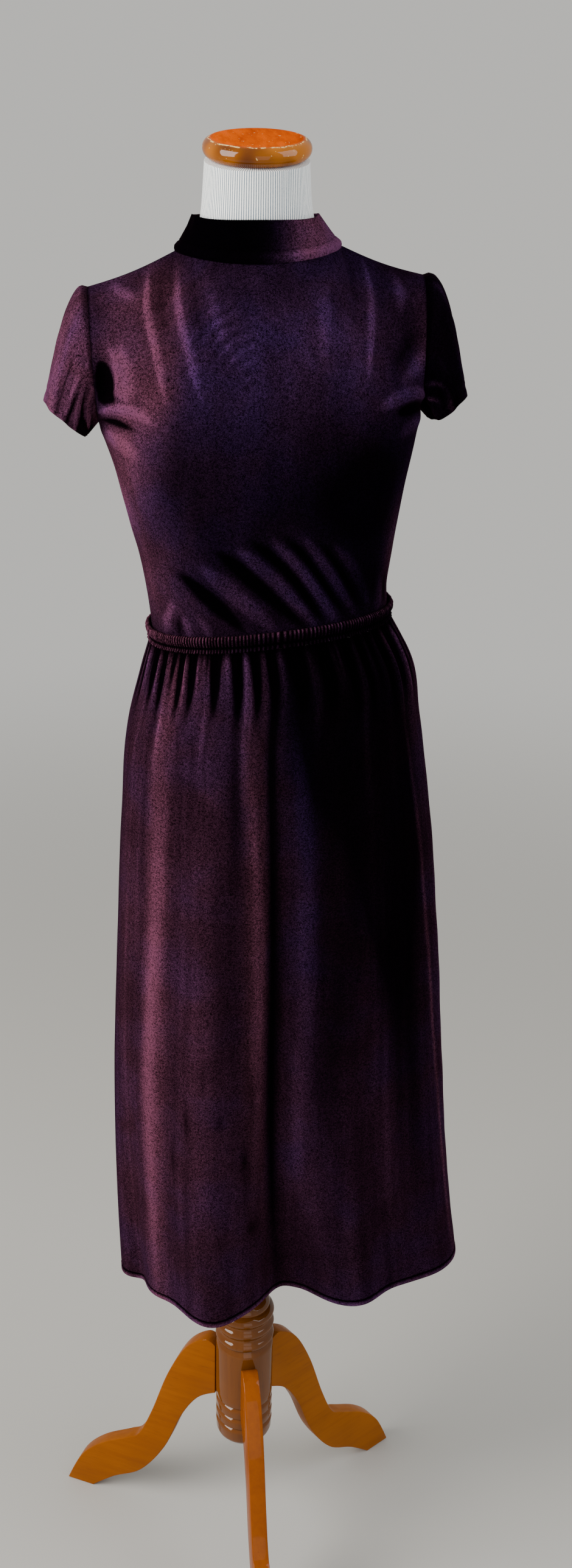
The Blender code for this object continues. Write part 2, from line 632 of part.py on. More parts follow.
def make_form():
    """The closed torso: both sides joined, flat arm plates, the neck and a flat base."""
    sides = {side: form_side(side) for side in SIDES}
    places = columns("form")
    rows, cols = sides["front"].shape[:2]
    under = rows - ROWS_ABOVE_ARM - 1
    shape = bmesh.new()
    verts = {}

    def vert(side, row, column):
        """Vertices on the seams and shoulders belong to both sides."""
        on_shoulder = row == rows - 1 and abs(places[column]) > NECK_SHARE - 1e-6
        shared = on_shoulder or (row <= under and column in (0, cols - 1))
        key = ("seam" if shared else side, row, column)
        if key not in verts:
            x, y, z = sides[side][row, column]
            verts[key] = shape.verts.new((x, 0 if shared else y, z))
        return verts[key]

    def loop_round(row, share):
        """The vertices round one row, out to the same place on both hands."""
        chosen = [i for i in range(cols) if abs(places[i]) <= share + 1e-6]
        loop = [vert("front", row, i) for i in chosen] + [vert("back", row, i) for i in chosen[::-1]]
        return list(dict.fromkeys(loop))

    for side in SIDES:
        for row in range(rows - 1):
            for column in range(cols - 1):
                shape.faces.new((vert(side, row, column), vert(side, row, column + 1),
                                 vert(side, row + 1, column + 1), vert(side, row + 1, column)))
    for column in (0, cols - 1):
        for row in range(under, rows - 1):
            corners = [vert("front", row, column), vert("front", row + 1, column),
                       vert("back", row + 1, column), vert("back", row, column)]
            shape.faces.new(list(dict.fromkeys(corners)))
    shape.faces.new(loop_round(0, 1.0))
    neck = loop_round(rows - 1, NECK_SHARE)
    below = neck
    for share in NECK_RINGS:
        ring = [shape.verts.new(neck_point(v.co, share)) for v in neck]
        for i in range(len(neck)):
            j = (i + 1) % len(neck)
            shape.faces.new((below[i], below[j], ring[j], ring[i]))
        below = ring
    shape.faces.new(below)
    bmesh.ops.recalc_face_normals(shape, faces=shape.faces)
    mesh = bpy.data.meshes.new("form_torso")
    shape.to_mesh(mesh)
    shape.free()
    mesh.materials.append(JERSEY)
    mesh.shade_smooth()
    mesh.set_sharp_from_angle(angle=SMOOTH_BELOW)
    obj = bpy.data.objects.new("form_torso", mesh)
    PARTS.objects.link(obj)
    obj.parent = ROOT
    return obj


def neck_point(base, share):
    """A point of the neck between the neckline and its slanted top."""
    angle = math.atan2(base[1], base[0] - CHEST_MIDDLE_X)
    flare = (1 - share) ** NECK_FLARE
    across = NECK_TOP_RADIUS + NECK_SWELL[0] * (1 - share)
    deep = NECK_TOP_RADIUS * math.cos(NECK_LEAN) + NECK_SWELL[1] * (1 - share)
    top_z = NECK_TOP_Z + NECK_TOP_RADIUS * math.sin(angle + NECK_TURN) * math.sin(NECK_LEAN)
    return (
        base[0] * flare + across * math.cos(angle) * (1 - flare),
        base[1] * flare + deep * math.sin(angle) * (1 - flare),
        base[2] + (top_z - base[2]) * share,
    )


def turned(name, profile, material, location=(0, 0, 0), turns=(0, 0, 0)):
    """A turned piece: its outline, top to bottom, spun about Z."""
    points = [(0, profile[0].z)] + [(p.radius, p.z) for p in profile] + [(0, profile[-1].z)]
    mesh = bpy.data.meshes.new(name)
    mesh.from_pydata([(x, 0, z) for x, z in points], [(i, i + 1) for i in range(len(points) - 1)], [])
    mesh.materials.append(material)
    obj = bpy.data.objects.new(name, mesh)
    PARTS.objects.link(obj)
    obj.parent = ROOT
    obj.location = location
    obj.rotation_euler = turns
    screw = obj.modifiers.new("turn", "SCREW")
    screw.steps = screw.render_steps = TURNED_STEPS
    screw.use_merge_vertices = True
    screw.merge_threshold = 0.0001
    screw.use_smooth_shade = True
    return obj


def make_cap():
    """The wooden disc on the neck, its rim rounded, leaning forward with the neck."""
    half = CAP_THICK / 2
    rim = [RingPoint(CAP_RADIUS - half + half * math.sin(a), half * math.cos(a))
           for a in np.radians([10, 40, 70, 100, 130, 160])]
    height = NECK_TOP_Z + (half + SEAM_GAP) / math.cos(NECK_LEAN)
    return turned("neck_cap", rim, WOOD, (0, 0, height), (NECK_LEAN, 0, -NECK_TURN))


def make_column():
    return turned("stand_column", COLUMN_PROFILE, WOOD)


def make_pole():
    low, high = COLUMN_TOP + SEAM_GAP, HIP_LEVELS[0].z - SEAM_GAP
    return turned("stand_pole", (RingPoint(POLE_RADIUS, high), RingPoint(POLE_RADIUS, low)), WOOD)


def make_leg(name, degrees):
    """A flat sawn leg: its side view as a filled curve, with softened edges."""
    curve = bpy.data.curves.new(name, "CURVE")
    curve.dimensions = "2D"
    curve.fill_mode = "BOTH"
    curve.extrude = LEG_THICK / 2 - LEG_EDGE
    curve.bevel_depth = LEG_EDGE
    curve.bevel_resolution = 0
    curve.offset = -LEG_EDGE
    curve.resolution_u = 2
    spline = curve.splines.new("BEZIER")
    spline.bezier_points.add(len(LEG_OUTLINE) - 1)
    spline.use_cyclic_u = True
    for point, row in zip(spline.bezier_points, LEG_OUTLINE):
        point.co = (row.reach, row.z, 0)
        point.handle_left_type = point.handle_right_type = "VECTOR" if row.corner else "AUTO"
    curve.materials.append(WOOD)
    obj = bpy.data.objects.new(name, curve)
    PARTS.objects.link(obj)
    obj.parent = ROOT
    obj.rotation_euler = (math.pi / 2, 0, math.radians(degrees))
    return obj


def material(name, colour, roughness):
    made = bpy.data.materials.new(name)
    made.use_nodes = True
    shader = made.node_tree.nodes["Principled BSDF"]
    shader.inputs["Base Color"].default_value = (*colour, 1)
    shader.inputs["Roughness"].default_value = roughness
    made.diffuse_color = (*colour, 1)
    return made


def centre_on_floor():
    """Moves the whole part so that its box stands centred over the origin."""
    bpy.context.view_layer.update()
    graph = bpy.context.evaluated_depsgraph_get()
    points = []
    for obj in PARTS.objects:
        if obj.type == "EMPTY":
            continue
        evaluated = obj.evaluated_get(graph)
        points += [evaluated.matrix_world @ v.co for v in evaluated.to_mesh().vertices]
        evaluated.to_mesh_clear()
    points = np.array(points)
    low, high = points.min(axis=0), points.max(axis=0)
    ROOT.location = (-(low[0] + high[0]) / 2, -(low[1] + high[1]) / 2, 0)


for old in list(bpy.data.objects):
    bpy.data.objects.remove(old, do_unlink=True)
PARTS = bpy.data.collections.new("velvet_dress_on_form")
bpy.context.scene.collection.children.link(PARTS)
ROOT = bpy.data.objects.new("form_axis", None)
PARTS.objects.link(ROOT)
VELVET = material("plum_velvet", (0.055, 0.012, 0.045), 0.75)
JERSEY = material("ticking_jersey", (0.72, 0.74, 0.74), 0.85)
WOOD = material("amber_varnished_wood", (0.52, 0.20, 0.035), 0.18)

panels = make_bodice()
make_sleeve("sleeve_left", -1, panels)
make_sleeve("sleeve_right", 1, panels)
make_collar(panels)
make_casing()
make_skirt()
make_form()
make_cap()
make_pole()
make_column()
for leg, degrees in LEG_ANGLES.items():
    make_leg(leg, degrees)
centre_on_floor()
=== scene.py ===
"""Looks of a dark plum velvet dress on a striped dress form with a varnished tripod stand.

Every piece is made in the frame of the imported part. Cloth sheets are grids whose points are
moved by formula onto the form of the garment, then given their thickness.
"""

import math
from collections import namedtuple

import bpy
import numpy as np
from bpy.props import FloatProperty, FloatVectorProperty, IntProperty, PointerProperty
from mathutils import Matrix, Vector


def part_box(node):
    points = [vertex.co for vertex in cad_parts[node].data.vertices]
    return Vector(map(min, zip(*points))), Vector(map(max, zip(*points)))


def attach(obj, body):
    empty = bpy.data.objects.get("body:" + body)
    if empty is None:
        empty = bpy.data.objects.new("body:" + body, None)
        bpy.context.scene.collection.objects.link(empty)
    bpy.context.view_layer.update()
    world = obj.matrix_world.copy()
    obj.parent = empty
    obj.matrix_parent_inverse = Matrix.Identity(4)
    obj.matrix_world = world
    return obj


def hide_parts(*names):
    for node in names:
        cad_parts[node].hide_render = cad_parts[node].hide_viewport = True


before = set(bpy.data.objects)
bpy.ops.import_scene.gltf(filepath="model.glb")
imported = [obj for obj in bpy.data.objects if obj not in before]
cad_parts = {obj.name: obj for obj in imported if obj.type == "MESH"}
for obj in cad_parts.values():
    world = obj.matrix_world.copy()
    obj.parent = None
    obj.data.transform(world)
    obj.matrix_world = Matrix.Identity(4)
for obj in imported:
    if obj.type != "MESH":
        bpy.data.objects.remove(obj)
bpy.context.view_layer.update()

bl_info = {
    "name": "Velvet dress on a dress form",
    "version": (1, 0, 0),
    "blender": (4, 5, 0),
    "location": "View3D > Sidebar > Dress",
    "description": "Models a velvet dress, its striped form and its wooden stand around the frame",
    "category": "Object",
}

# Axis of the form on the floor, read from the pole of the frame
POLE_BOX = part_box("stand_pole")
AXIS_X = (POLE_BOX[0][0] + POLE_BOX[1][0]) / 2
AXIS_Y = (POLE_BOX[0][1] + POLE_BOX[1][1]) / 2

# Cloth, its seams and the room between it and the form
WALL = 0.0015
COLLAR_WALL = 0.0024
SEAM_GAP = 0.0003
ARMHOLE_OVERLAP = 0.0005
SHOULDER_OVERLAP = 0.0003
SHOULDER_SEAM_START = 1.97
FORM_GAP = 0.0008
SHOULDER_SINK = 0.0016
FORM_EASE = 0.0060
ARM_EASE = 0.0040
SEAT_START, SEAT_END = 0.86, 0.98

# Bodice, collar and sleeves
SHOULDER_TIP = (0.164, 1.610)
NECK_POINT = (0.0785, 1.6405)
CHEST_MIDDLE_X = 0.002
SHOULDER_RISE = 0.048
SHOULDER_SAG = 0.003
NECKLINE_DROP = {"front": 0.013, "back": 0.004}
NECKLINE_DEPTH = {"front": 0.066, "back": 0.060}
NECKLINE_ROUND = 1.5
ARMHOLE_DEPTH = {"front": 0.055, "back": 0.050}
ARMHOLE_HOLLOW = {"left": -0.002, "right": 0.007}
SHOULDER_ROUND = 2.2
PLAN_POWER = 2.35
NECK_SHARE = 0.36
COLLAR_HEIGHT = {"front": 0.037, "side": 0.030, "back": 0.037}
COLLAR_FALL = 0.028
COLLAR_SHIFT = -0.0010
COLLAR_TOP = {"width": 0.0583, "front": 0.0560, "back": 0.0550}
COLLAR_RIDGE = 0.0022
COLLAR_RIDGE_HEIGHTS = (0.0, 0.04, 0.10, 0.18, 0.30, 1.0)
COLLAR_RIDGE_SHARES = (0.30, 0.98, 1.0, 0.55, 0.06, 0.0)
COLLAR_TUCK = 0.0030
COLLAR_SEAM = 0.0008
COLLAR_HUG = 0.0012
COLLAR_WRINKLES = (0.0005, 0.0004)
SLEEVE_HEM = {"reach": 0.0450, "drop": 0.1060, "tuck": 0.0120, "underarm": 0.0130, "depth": 0.052}
SLEEVE_HEAD = {-1: 0.012, 1: 0.015}
SLEEVE_HEAD_OUT, SLEEVE_HEAD_UP = 0.8, 0.6
HEAD_START = 0.5
SLEEVE_PUCKER = 0.0007
SLEEVE_STITCH = {"depth": 0.0007, "place": 0.92, "width": 0.018}

# Casing and skirt
CASING_TOP_Z = 1.2855
CASING_HEIGHT = 0.0170
CASING_RIDGE = 0.0010
CASING_FLUTTER = 0.0006
# Depth of the painted shade along the casing's stitched line; it only darkens, it doesn't move points
CASING_GROOVE_SHADE = 0.0015
CASING_LIP_RISE = 0.0005
CREASE_RUN_OUT = 0.016
SKIRT_TOP_Z = CASING_TOP_Z - CASING_HEIGHT - SEAM_GAP
GATHER_WIDTH = 0.023
GATHER_SINK = 0.25
GATHER_REACH = 0.09
GATHER_START = 0.35
GATHER_RISE = 2.6
HEM_STITCH = 0.0066
HEM_SWELL = 0.0004
HEM_GROOVE = 0.0007
HEM_PUCKER = 0.0003

# Form and stand
NECK_TOP_Z = 1.7185
NECK_TOP_RADIUS = 0.0500
NECK_LEAN = math.radians(14.0)
NECK_TURN = math.radians(8.0)
NECK_SWELL = (0.0050, 0.0035)
NECK_FLARE = 6
NECK_SIDE_SHARE = 0.9
TORSO_UPPER_RINGS = 10
ARM_PLATE_START = 1.9
CAP_RADIUS = 0.0520
CAP_THICK = 0.0180
CAP_CENTRE_Z = NECK_TOP_Z + (CAP_THICK / 2 + SEAM_GAP) / math.cos(NECK_LEAN)
COLUMN_RADIUS = 0.0365
COLUMN_BOTTOM = 0.1760
COLUMN_TOP = 0.3960
BEAD_RADIUS, BEAD_HEIGHT, BEAD_BULGE, BEAD_STEPS = 0.0328, 0.0140, 0.0046, 6
POLE_RADIUS = 0.0130
LEG_THICK = 0.0200
LEG_ROUND = 0.0026
LEG_ANGLES = {"leg_front": -88, "leg_right": 32, "leg_left": 152}
SIDES = {"front": -1, "back": 1}
HANDS = {"left": -1, "right": 1}

# How finely the pieces are divided
BODICE_CELLS = {"front": (168, 176), "back": (120, 130)}
SKIRT_CELLS = {"front": (250, 170), "back": (190, 130)}
SLEEVE_CELLS = (144, 44)
COLLAR_CELLS = (216, 30)
CASING_CELLS_A_RIDGE, CASING_CELLS_ROUND = 6, 22
TORSO_CELLS = (48, 44)
NECK_CELLS = (120, 26)
FLOOR_CELLS = (40, 40)
FOLD_STEPS = 14
TURNED_STEPS = 96
CAP_STEPS = 15
LEG_STEPS = 7
MERGE_DISTANCE = 0.00002
SMOOTH_ANGLE, CASING_SMOOTH_ANGLE, LEG_SMOOTH_ANGLE, LEG_BEVEL_ANGLE = np.radians((52, 75, 40, 60)).tolist()

# Rows of the skirt: close at the gathers and at the hem, wider between
SKIRT_ROWS = ((0.0, 0.36, 0.86, 1.0), (0.0, 0.16, 0.955, 1.0))
# Where the faint unevenness of a panel starts
BODICE_SEED, SKIRT_SEED = {"front": 1.0, "back": 2.0}, {"front": 1.0, "back": 2.6}

# Marks of the velvet: their scales and how much of each shows; the painted shade in fold troughs and painted
# highlight on ridges; the bounds and first values of the painted light
HAIR_SCALE, CLUMP_SCALE, PATCH_SCALE, STREAK_SCALE = 1250.0, 480.0, 13.0, (36.0, 36.0, 5.0)
HAIR_SHARE, CLUMP_SHARE = 0.75, 0.40
TROUGH_LIGHT, RIDGE_LIGHT = 0.02, 3.2
LEAST_LIT, MOST_LIT = 0.025, 1.6
VELVET_ROUGH, VELVET_BUMP = 0.62, 0.0006
# First painted light and blue share of each panel, before the strokes
BODICE_PAINTED_LIGHT_START = (0.15, 0.75)
SLEEVE_PAINTED_LIGHT_START = {-1: (0.86, 0.26), 1: (0.05, 0.75)}
SKIRT_PAINTED_LIGHT_START = {"front": (0.34, 0.5), "back": (0.40, 0.5)}
# Height of a fold, in metres, that counts as a full ridge or trough
FULL_FOLD = {"bodice": 0.0018, "sleeve": 0.0034, "collar": 0.0040, "casing": 0.0006, "skirt": 0.0024}
CRUSH = {"x": -0.022, "z": 1.555, "width": 0.050, "length": 0.045, "height": 0.0006, "pitch": 0.0140}

# Jersey, wood and floor
SOIL, SOIL_SHARE = (0.52, 0.50, 0.44), 0.16
KNIT_SCALE, KNIT_BUMP = 1400.0, 0.0004
WOOD_GRAIN = {"wide": (3.0, 30.0, 30.0), "fine": (9.0, 130.0, 130.0), "pore": (40.0, 700.0, 700.0)}
CAP_TONE = (2.7, 1.20, 0.4)
RIM_AMBER, RIM_BROWN = (0.38, 0.112, 0.0002), (0.09, 0.020, 0.0002)
CHIPPED = (0.86, 0.62, 0.24)
COLUMN_TONE = (0.60, 0.52, 0.40)
# Tone of each leg, partly the wood's own and partly painted light: the right leg is painted lighter and
# yellower, the front leg darker and redder
LEG_TONE_AND_LIGHT = {"leg_front": (1.10, 0.78, 0.5), "leg_right": (1.32, 1.16, 0.9), "leg_left": (1.15, 0.95, 0.5)}
FLOOR_SIZE, FLOOR_DROP = 40.0, 0.0005
FADE_START, FADE_END = 1.0, 4.5

# Camera of the photograph, from the form's axis
FOCAL_PIXELS, FRAME_PIXELS = 2370.0, 2576.0
CAMERA_BACK, CAMERA_RIGHT, CAMERA_HEIGHT = 1.48, 0.0390, 1.6535
CAMERA_PITCH, CAMERA_YAW, CAMERA_ROLL = np.radians((20.9, 8.2, 1.15)).tolist()
SENSOR = 36.0

Level = namedtuple("Level", "z half_width middle_x front back rise")
Fold = namedtuple("Fold", "points height half_width")
Gather = namedtuple("Gather", "place height length")
Wave = namedtuple("Wave", "place depth half_width start_z")
Hang = namedtuple("Hang", "place height half_width top_z bottom_z")
Pleat = namedtuple("Pleat", "turn height half_width")
Crease = namedtuple("Crease", "turn_top turn_hem height half_width")
# A stroke of painted light and shade: its place across and along, its width and length, how much lighter and
# bluer it paints, and its lean
Stroke = namedtuple("Stroke", "across along width length lit blue lean", defaults=(0,))
RingPoint = namedtuple("RingPoint", "radius z")
LegPoint = namedtuple("LegPoint", "reach z corner", defaults=(False,))
CasingPoint = namedtuple("CasingPoint", "out down ridge")
Lamp = namedtuple("Lamp", "name power place target size colour")


def rows(kind, *table):
    """A table's rows with their values named."""
    return tuple(kind(*row) for row in table)


def folds(*table):
    """Folds from rows in millimetres: height, half width, then x and z of each point."""
    metres = [[value / 1000 for value in row] for row in table]
    return tuple(Fold(tuple(zip(row[2::2], row[3::2])), row[0], row[1]) for row in metres)


BODICE_LEVELS = rows(Level,
    (1.276, 0.1225, 0.018, 0.094, 0.09, 0.11), (1.305, 0.124, 0.016, 0.096, 0.09, 0.1),
    (1.345, 0.1295, 0.0145, 0.103, 0.094, 0.085), (1.385, 0.137, 0.012, 0.112, 0.098, 0.07),
    (1.435, 0.148, 0.0095, 0.119, 0.102, 0.06), (1.4845, 0.161, 0.006, 0.117, 0.104, 0.052))
SKIRT_LEVELS = rows(Level,
    (SKIRT_TOP_Z, 0.1255, 0.0185, 0.097, 0.093, 0.107), (1.225, 0.144, 0.025, 0.104, 0.101, 0.08),
    (1.165, 0.157, 0.024, 0.108, 0.106, 0.05), (1.07, 0.169, 0.028, 0.109, 0.109, 0.03),
    (0.92, 0.182, 0.033, 0.106, 0.11, 0.025), (0.73, 0.1945, 0.0375, 0.1, 0.108, 0.023),
    (0.55, 0.204, 0.047, 0.094, 0.105, 0.023), (0.456, 0.2095, 0.055, 0.09, 0.102, 0.023))
HIP_LEVELS = rows(Level,
    (0.92, 0.118, 0.008, 0.078, 0.082, 0), (0.935, 0.129, 0.009, 0.084, 0.089, 0),
    (1, 0.137, 0.012, 0.09, 0.096, 0), (1.09, 0.14, 0.014, 0.092, 0.098, 0),
    (1.17, 0.135, 0.016, 0.091, 0.094, 0.03), (1.23, 0.12, 0.0175, 0.087, 0.086, 0.08))
# Folds of the bodice seen from the front, a negative height being a trough: pulled up from the
# waist, small pleats at the casing, from collar and shoulders down, towards the underarms, side seam
FRONT_FOLDS = folds(
    (-3, 6, -88, 1345, -51, 1314, -15, 1281), (3.4, 6.2, -64, 1352, -30, 1324, 18, 1280),
    (-3.4, 6.2, -50, 1368, -9, 1335, 50, 1281), (4, 6, -30, 1372, 9, 1338, 58, 1283),
    (-3.4, 6, -18, 1380, 26, 1342, 65, 1286), (4, 5.6, 2, 1383, 37, 1345, 77, 1289),
    (-3, 5.6, 12, 1386, 48, 1348, 88, 1292), (3.6, 5.2, 34, 1384, 61, 1348, 97, 1294),
    (-2.4, 5.2, 46, 1380, 74, 1347, 105, 1295), (2.6, 5, 64, 1375, 88, 1345, 113, 1298),
    (1.8, 3.6, -94, 1268, -92, 1288, -86, 1312), (-1.4, 3.4, -80, 1268, -81, 1285, -78, 1304),
    (1.8, 3.4, -70, 1270, -74, 1286, -82, 1306), (1.4, 3.2, -50, 1272, -56, 1286, -66, 1300),
    (2, 4, 121, 1292, 122, 1310, 120, 1335), (-1.4, 4, 132, 1296, 131, 1314, 130, 1340),
    (2.6, 3.2, -103, 1622, -107, 1585, -101, 1548, -93, 1500), (-0.9, 6, -92, 1624, -95, 1585, -88, 1545),
    (1.8, 3.6, -77, 1632, -79, 1588, -70, 1540, -60, 1500), (-0.8, 6, -66, 1634, -66, 1590, -56, 1545),
    (0.9, 5, -56, 1626, -46, 1580, -30, 1535), (0.8, 6, 60, 1628, 54, 1580, 50, 1530),
    (-0.8, 6, 84, 1640, 89, 1610, 86, 1570), (1.8, 3.4, 102, 1634, 105, 1605, 101, 1565, 94, 1520),
    (1.6, 5, 132, 1622, 136, 1600, 132, 1578), (1.4, 4.5, -140, 1606, -130, 1598, -112, 1592),
    (3.4, 3.6, -157, 1489, -140, 1494, -122, 1493, -104, 1484),
    (-2.2, 4.5, -157, 1501, -148, 1503, -138, 1502), (2.4, 3.2, -144, 1552, -135, 1528, -140, 1503),
    (-5, 6, -152, 1540, -149, 1518, -152, 1500), (2, 7, -134, 1556, -132, 1525, -128, 1500),
    (-2.2, 3.2, -156, 1481, -140, 1482, -120, 1476), (2.2, 5.5, -155, 1472, -136, 1464, -118, 1448),
    (4.2, 5, 170, 1503, 150, 1510, 128, 1508, 106, 1500), (-3.4, 5.6, 168, 1494, 148, 1498, 126, 1494),
    (2, 6, 166, 1484, 148, 1482, 128, 1470), (-1.1, 8.5, 152, 1575, 138, 1552, 118, 1530),
    (1.8, 7, 158, 1552, 146, 1534, 128, 1520), (1.8, 5, -150, 1440, -134, 1395, -122, 1340))
BACK_FOLDS = folds(
    (2.6, 7, -112, 1352, -86, 1322, -62, 1284), (-1.6, 6.5, -92, 1340, -66, 1312, -44, 1283),
    (2.6, 7, 122, 1372, 100, 1338, 80, 1292), (-1.6, 6.5, 102, 1350, 82, 1322, 62, 1288),
    (1.6, 7.5, -30, 1336, -22, 1308, -18, 1282), (1.4, 7, 34, 1342, 30, 1312, 26, 1284),
    (2.6, 6, -152, 1500, -130, 1505, -108, 1500), (-1.6, 5.5, -152, 1488, -134, 1490, -116, 1482),
    (2.6, 6, 160, 1508, 138, 1512, 116, 1506), (-1.6, 5.5, 160, 1496, 140, 1498, 122, 1488),
    (1.4, 6, -94, 1622, -92, 1580, -82, 1530), (1.4, 6, 98, 1628, 94, 1585, 82, 1535))
FRONT_GATHERS = rows(Gather,
    (-0.88, 0.003, 0.06), (-0.79, 0.0036, 0.075), (-0.69, 0.0034, 0.06), (-0.59, 0.004, 0.11),
    (-0.49, 0.0028, 0.045), (-0.41, 0.0036, 0.065), (-0.33, 0.0042, 0.09), (-0.27, 0.0038, 0.06),
    (-0.21, 0.0032, 0.055), (-0.14, 0.0055, 0.13), (-0.03, 0.0026, 0.045), (0.1, 0.0036, 0.09),
    (0.21, 0.0032, 0.06), (0.32, 0.0038, 0.12), (0.44, 0.0034, 0.07), (0.57, 0.004, 0.09),
    (0.71, 0.0034, 0.06), (0.86, 0.0036, 0.11))
BACK_GATHERS = tuple(
    Gather(-0.88 + 0.11 * i, 0.0036 + 0.0009 * math.sin(2.1 * i), 0.085 + 0.035 * math.cos(1.7 * i))
    for i in range(17))
# Folds of the skirt that open towards the hem
FRONT_WAVES = rows(Wave,
    (-0.78, -0.02, 0.14, 0.9), (-0.28, 0.04, 0.14, 1.16), (-0.03, -0.03, 0.075, 1.1),
    (0.17, 0.022, 0.11, 1.12), (0.66, 0.007, 0.3, 1))
BACK_WAVES = rows(Wave,
    (-0.52, 0.03, 0.18, 1.12), (-0.16, -0.022, 0.14, 1.05), (0.16, 0.03, 0.17, 1.14),
    (0.47, -0.018, 0.13, 0.98), (0.74, 0.018, 0.15, 1))
# Long soft folds of the skirt between two heights
FRONT_HANGS = rows(Hang,
    (-0.545, 0.003, 0.055, 1.2, 0.44), (-0.44, -0.0016, 0.05, 1.16, 0.44),
    (-0.19, -0.0018, 0.045, 1.14, 0.6), (-0.1, 0.0026, 0.03, 1.2, 0.56),
    (-0.04, -0.0034, 0.034, 1.22, 0.52), (0.035, 0.003, 0.038, 1.18, 0.5), (0.33, 0.0022, 0.06, 1.2, 0.52),
    (0.5, -0.0024, 0.06, 1.18, 0.46), (0.81, 0.0022, 0.05, 1.18, 0.5))
BACK_HANGS = rows(Hang,
    (-0.7, -0.002, 0.05, 1.18, 0.5), (-0.33, 0.0026, 0.045, 1.2, 0.5), (0, 0.0024, 0.05, 1.18, 0.54),
    (0.3, -0.0022, 0.05, 1.16, 0.5), (0.6, 0.0024, 0.045, 1.2, 0.48))
# Round the sleeve, in degrees from the underarm up the front
SLEEVE_PLEATS = rows(Pleat,
    (52, 0.004, 16), (92, -0.003, 15), (128, 0.0026, 15), (180, 0.0016, 22), (236, 0.0026, 16),
    (272, -0.003, 15), (310, 0.0036, 16))
SLEEVE_CREASES = rows(Crease,
    (30, 20, -0.0028, 6), (46, 38, 0.0022, 5), (66, 60, -0.0016, 5.5), (84, 96, 0.0018, 5),
    (112, 122, -0.0014, 6), (140, 150, 0.0012, 6), (214, 206, 0.0012, 6), (250, 240, -0.0014, 6),
    (292, 300, 0.0018, 5.5), (330, 340, -0.0024, 6))
# Painted light and shade of the velvet: soft strokes that paint it lighter or darker and more or less blue
FRONT_PAINTED_LIGHT = rows(Stroke,
    (-0.134, 1.44, 0.03, 0.085, 0.8, -0.55, 0.1), (-0.114, 1.32, 0.03, 0.06, 0.58, -0.45, 0.1),
    (0.105, 1.325, 0.035, 0.035, -0.12, 0), (-0.142, 1.565, 0.03, 0.05, 0.42, -0.4),
    (-0.1, 1.605, 0.045, 0.03, 0.2, -0.3), (-0.092, 1.56, 0.022, 0.05, 0.14, -0.5),
    (-0.105, 1.5, 0.022, 0.03, 0.16, -0.4), (-0.019, 1.545, 0.075, 0.06, 0.37, 0.12),
    (0.08, 1.555, 0.048, 0.06, 0.38, -0.12), (0.048, 1.6, 0.05, 0.03, 0.1, 0),
    (0.102, 1.425, 0.045, 0.062, -0.2, 0), (0.05, 1.41, 0.04, 0.03, -0.05, 0.1),
    (0.14, 1.34, 0.012, 0.06, 0.5, -0.45), (0.16, 1.56, 0.014, 0.05, 0.18, -0.2),
    (0.02, 1.325, 0.075, 0.035, 0.02, 0), (-0.06, 1.3, 0.04, 0.03, 0.12, -0.1))
BACK_PAINTED_LIGHT = rows(Stroke,
    (-0.13, 1.44, 0.035, 0.1, 0.4, -0.4), (0.125, 1.42, 0.035, 0.1, 0.3, -0.35),
    (-0.06, 1.56, 0.07, 0.06, 0.22, -0.1), (0.07, 1.54, 0.06, 0.06, 0.2, -0.1),
    (0.01, 1.4, 0.06, 0.06, -0.06, 0.1))
# Painted light and shade of the skirt, as places across and shares of the way down; a few small dark strokes
# are pressed marks of the pile
SKIRT_FRONT_PAINTED_LIGHT = rows(Stroke,
    (-0.545, 0.5, 0.08, 0.65, 0.62, -0.45), (-0.78, 0.6, 0.13, 0.6, 0.22, -0.25),
    (-0.34, 0.6, 0.12, 0.55, 0.14, -0.15), (-0.105, 0.42, 0.035, 0.38, 0.12, -0.4),
    (-0.045, 0.45, 0.012, 0.55, -0.46, 0, -0.01), (-0.076, 0.48, 0.012, 0.42, 0.2, -0.3, -0.01),
    (-0.018, 0.52, 0.01, 0.36, 0.16, -0.05, -0.01), (-0.355, 0.665, 0.012, 0.022, -0.3, 0),
    (-0.43, 0.74, 0.01, 0.026, -0.28, 0), (-0.225, 0.665, 0.016, 0.012, -0.26, 0),
    (-0.14, 0.735, 0.014, 0.018, -0.3, 0), (-0.285, 0.6, 0.008, 0.03, -0.2, 0),
    (-0.11, 0.64, 0.01, 0.04, -0.22, 0), (-0.12, 0.855, 0.02, 0.014, -0.24, 0),
    (0.05, 0.3, 0.05, 0.33, -0.06, 0.25), (0.13, 0.04, 0.19, 0.18, -0.46, 0),
    (0.04, 0.18, 0.03, 0.12, 0.1, 0.3, 0.1), (-0.175, 0.2, 0.035, 0.15, -0.26, 0),
    (0.42, 0.1, 0.21, 0.24, -0.33, 0), (0.37, 0.32, 0.18, 0.26, -0.3, 0), (0.62, 0.24, 0.21, 0.3, -0.15, 0),
    (0.47, 0.66, 0.15, 0.28, -0.16, 0), (0.74, 0.72, 0.12, 0.24, -0.1, 0),
    (0.08, 0.56, 0.09, 0.32, -0.14, 0), (0.11, 0.78, 0.07, 0.22, 0.06, 0.1),
    (0.16, 0.52, 0.08, 0.26, -0.12, 0), (0.7, 0.6, 0.018, 0.38, 0.42, -0.35, 0.206),
    (0.88, 0.7, 0.08, 0.5, 0.06, -0.2))
SKIRT_BACK_PAINTED_LIGHT = rows(Stroke,
    (-0.56, 0.5, 0.1, 0.6, 0.34, -0.4), (-0.18, 0.45, 0.05, 0.5, 0.22, -0.35),
    (-0.06, 0.5, 0.03, 0.55, -0.28, 0), (0.18, 0.35, 0.12, 0.32, -0.2, 0.2),
    (0.42, 0.6, 0.08, 0.45, 0.24, -0.3), (0.72, 0.45, 0.1, 0.4, -0.18, 0.1))
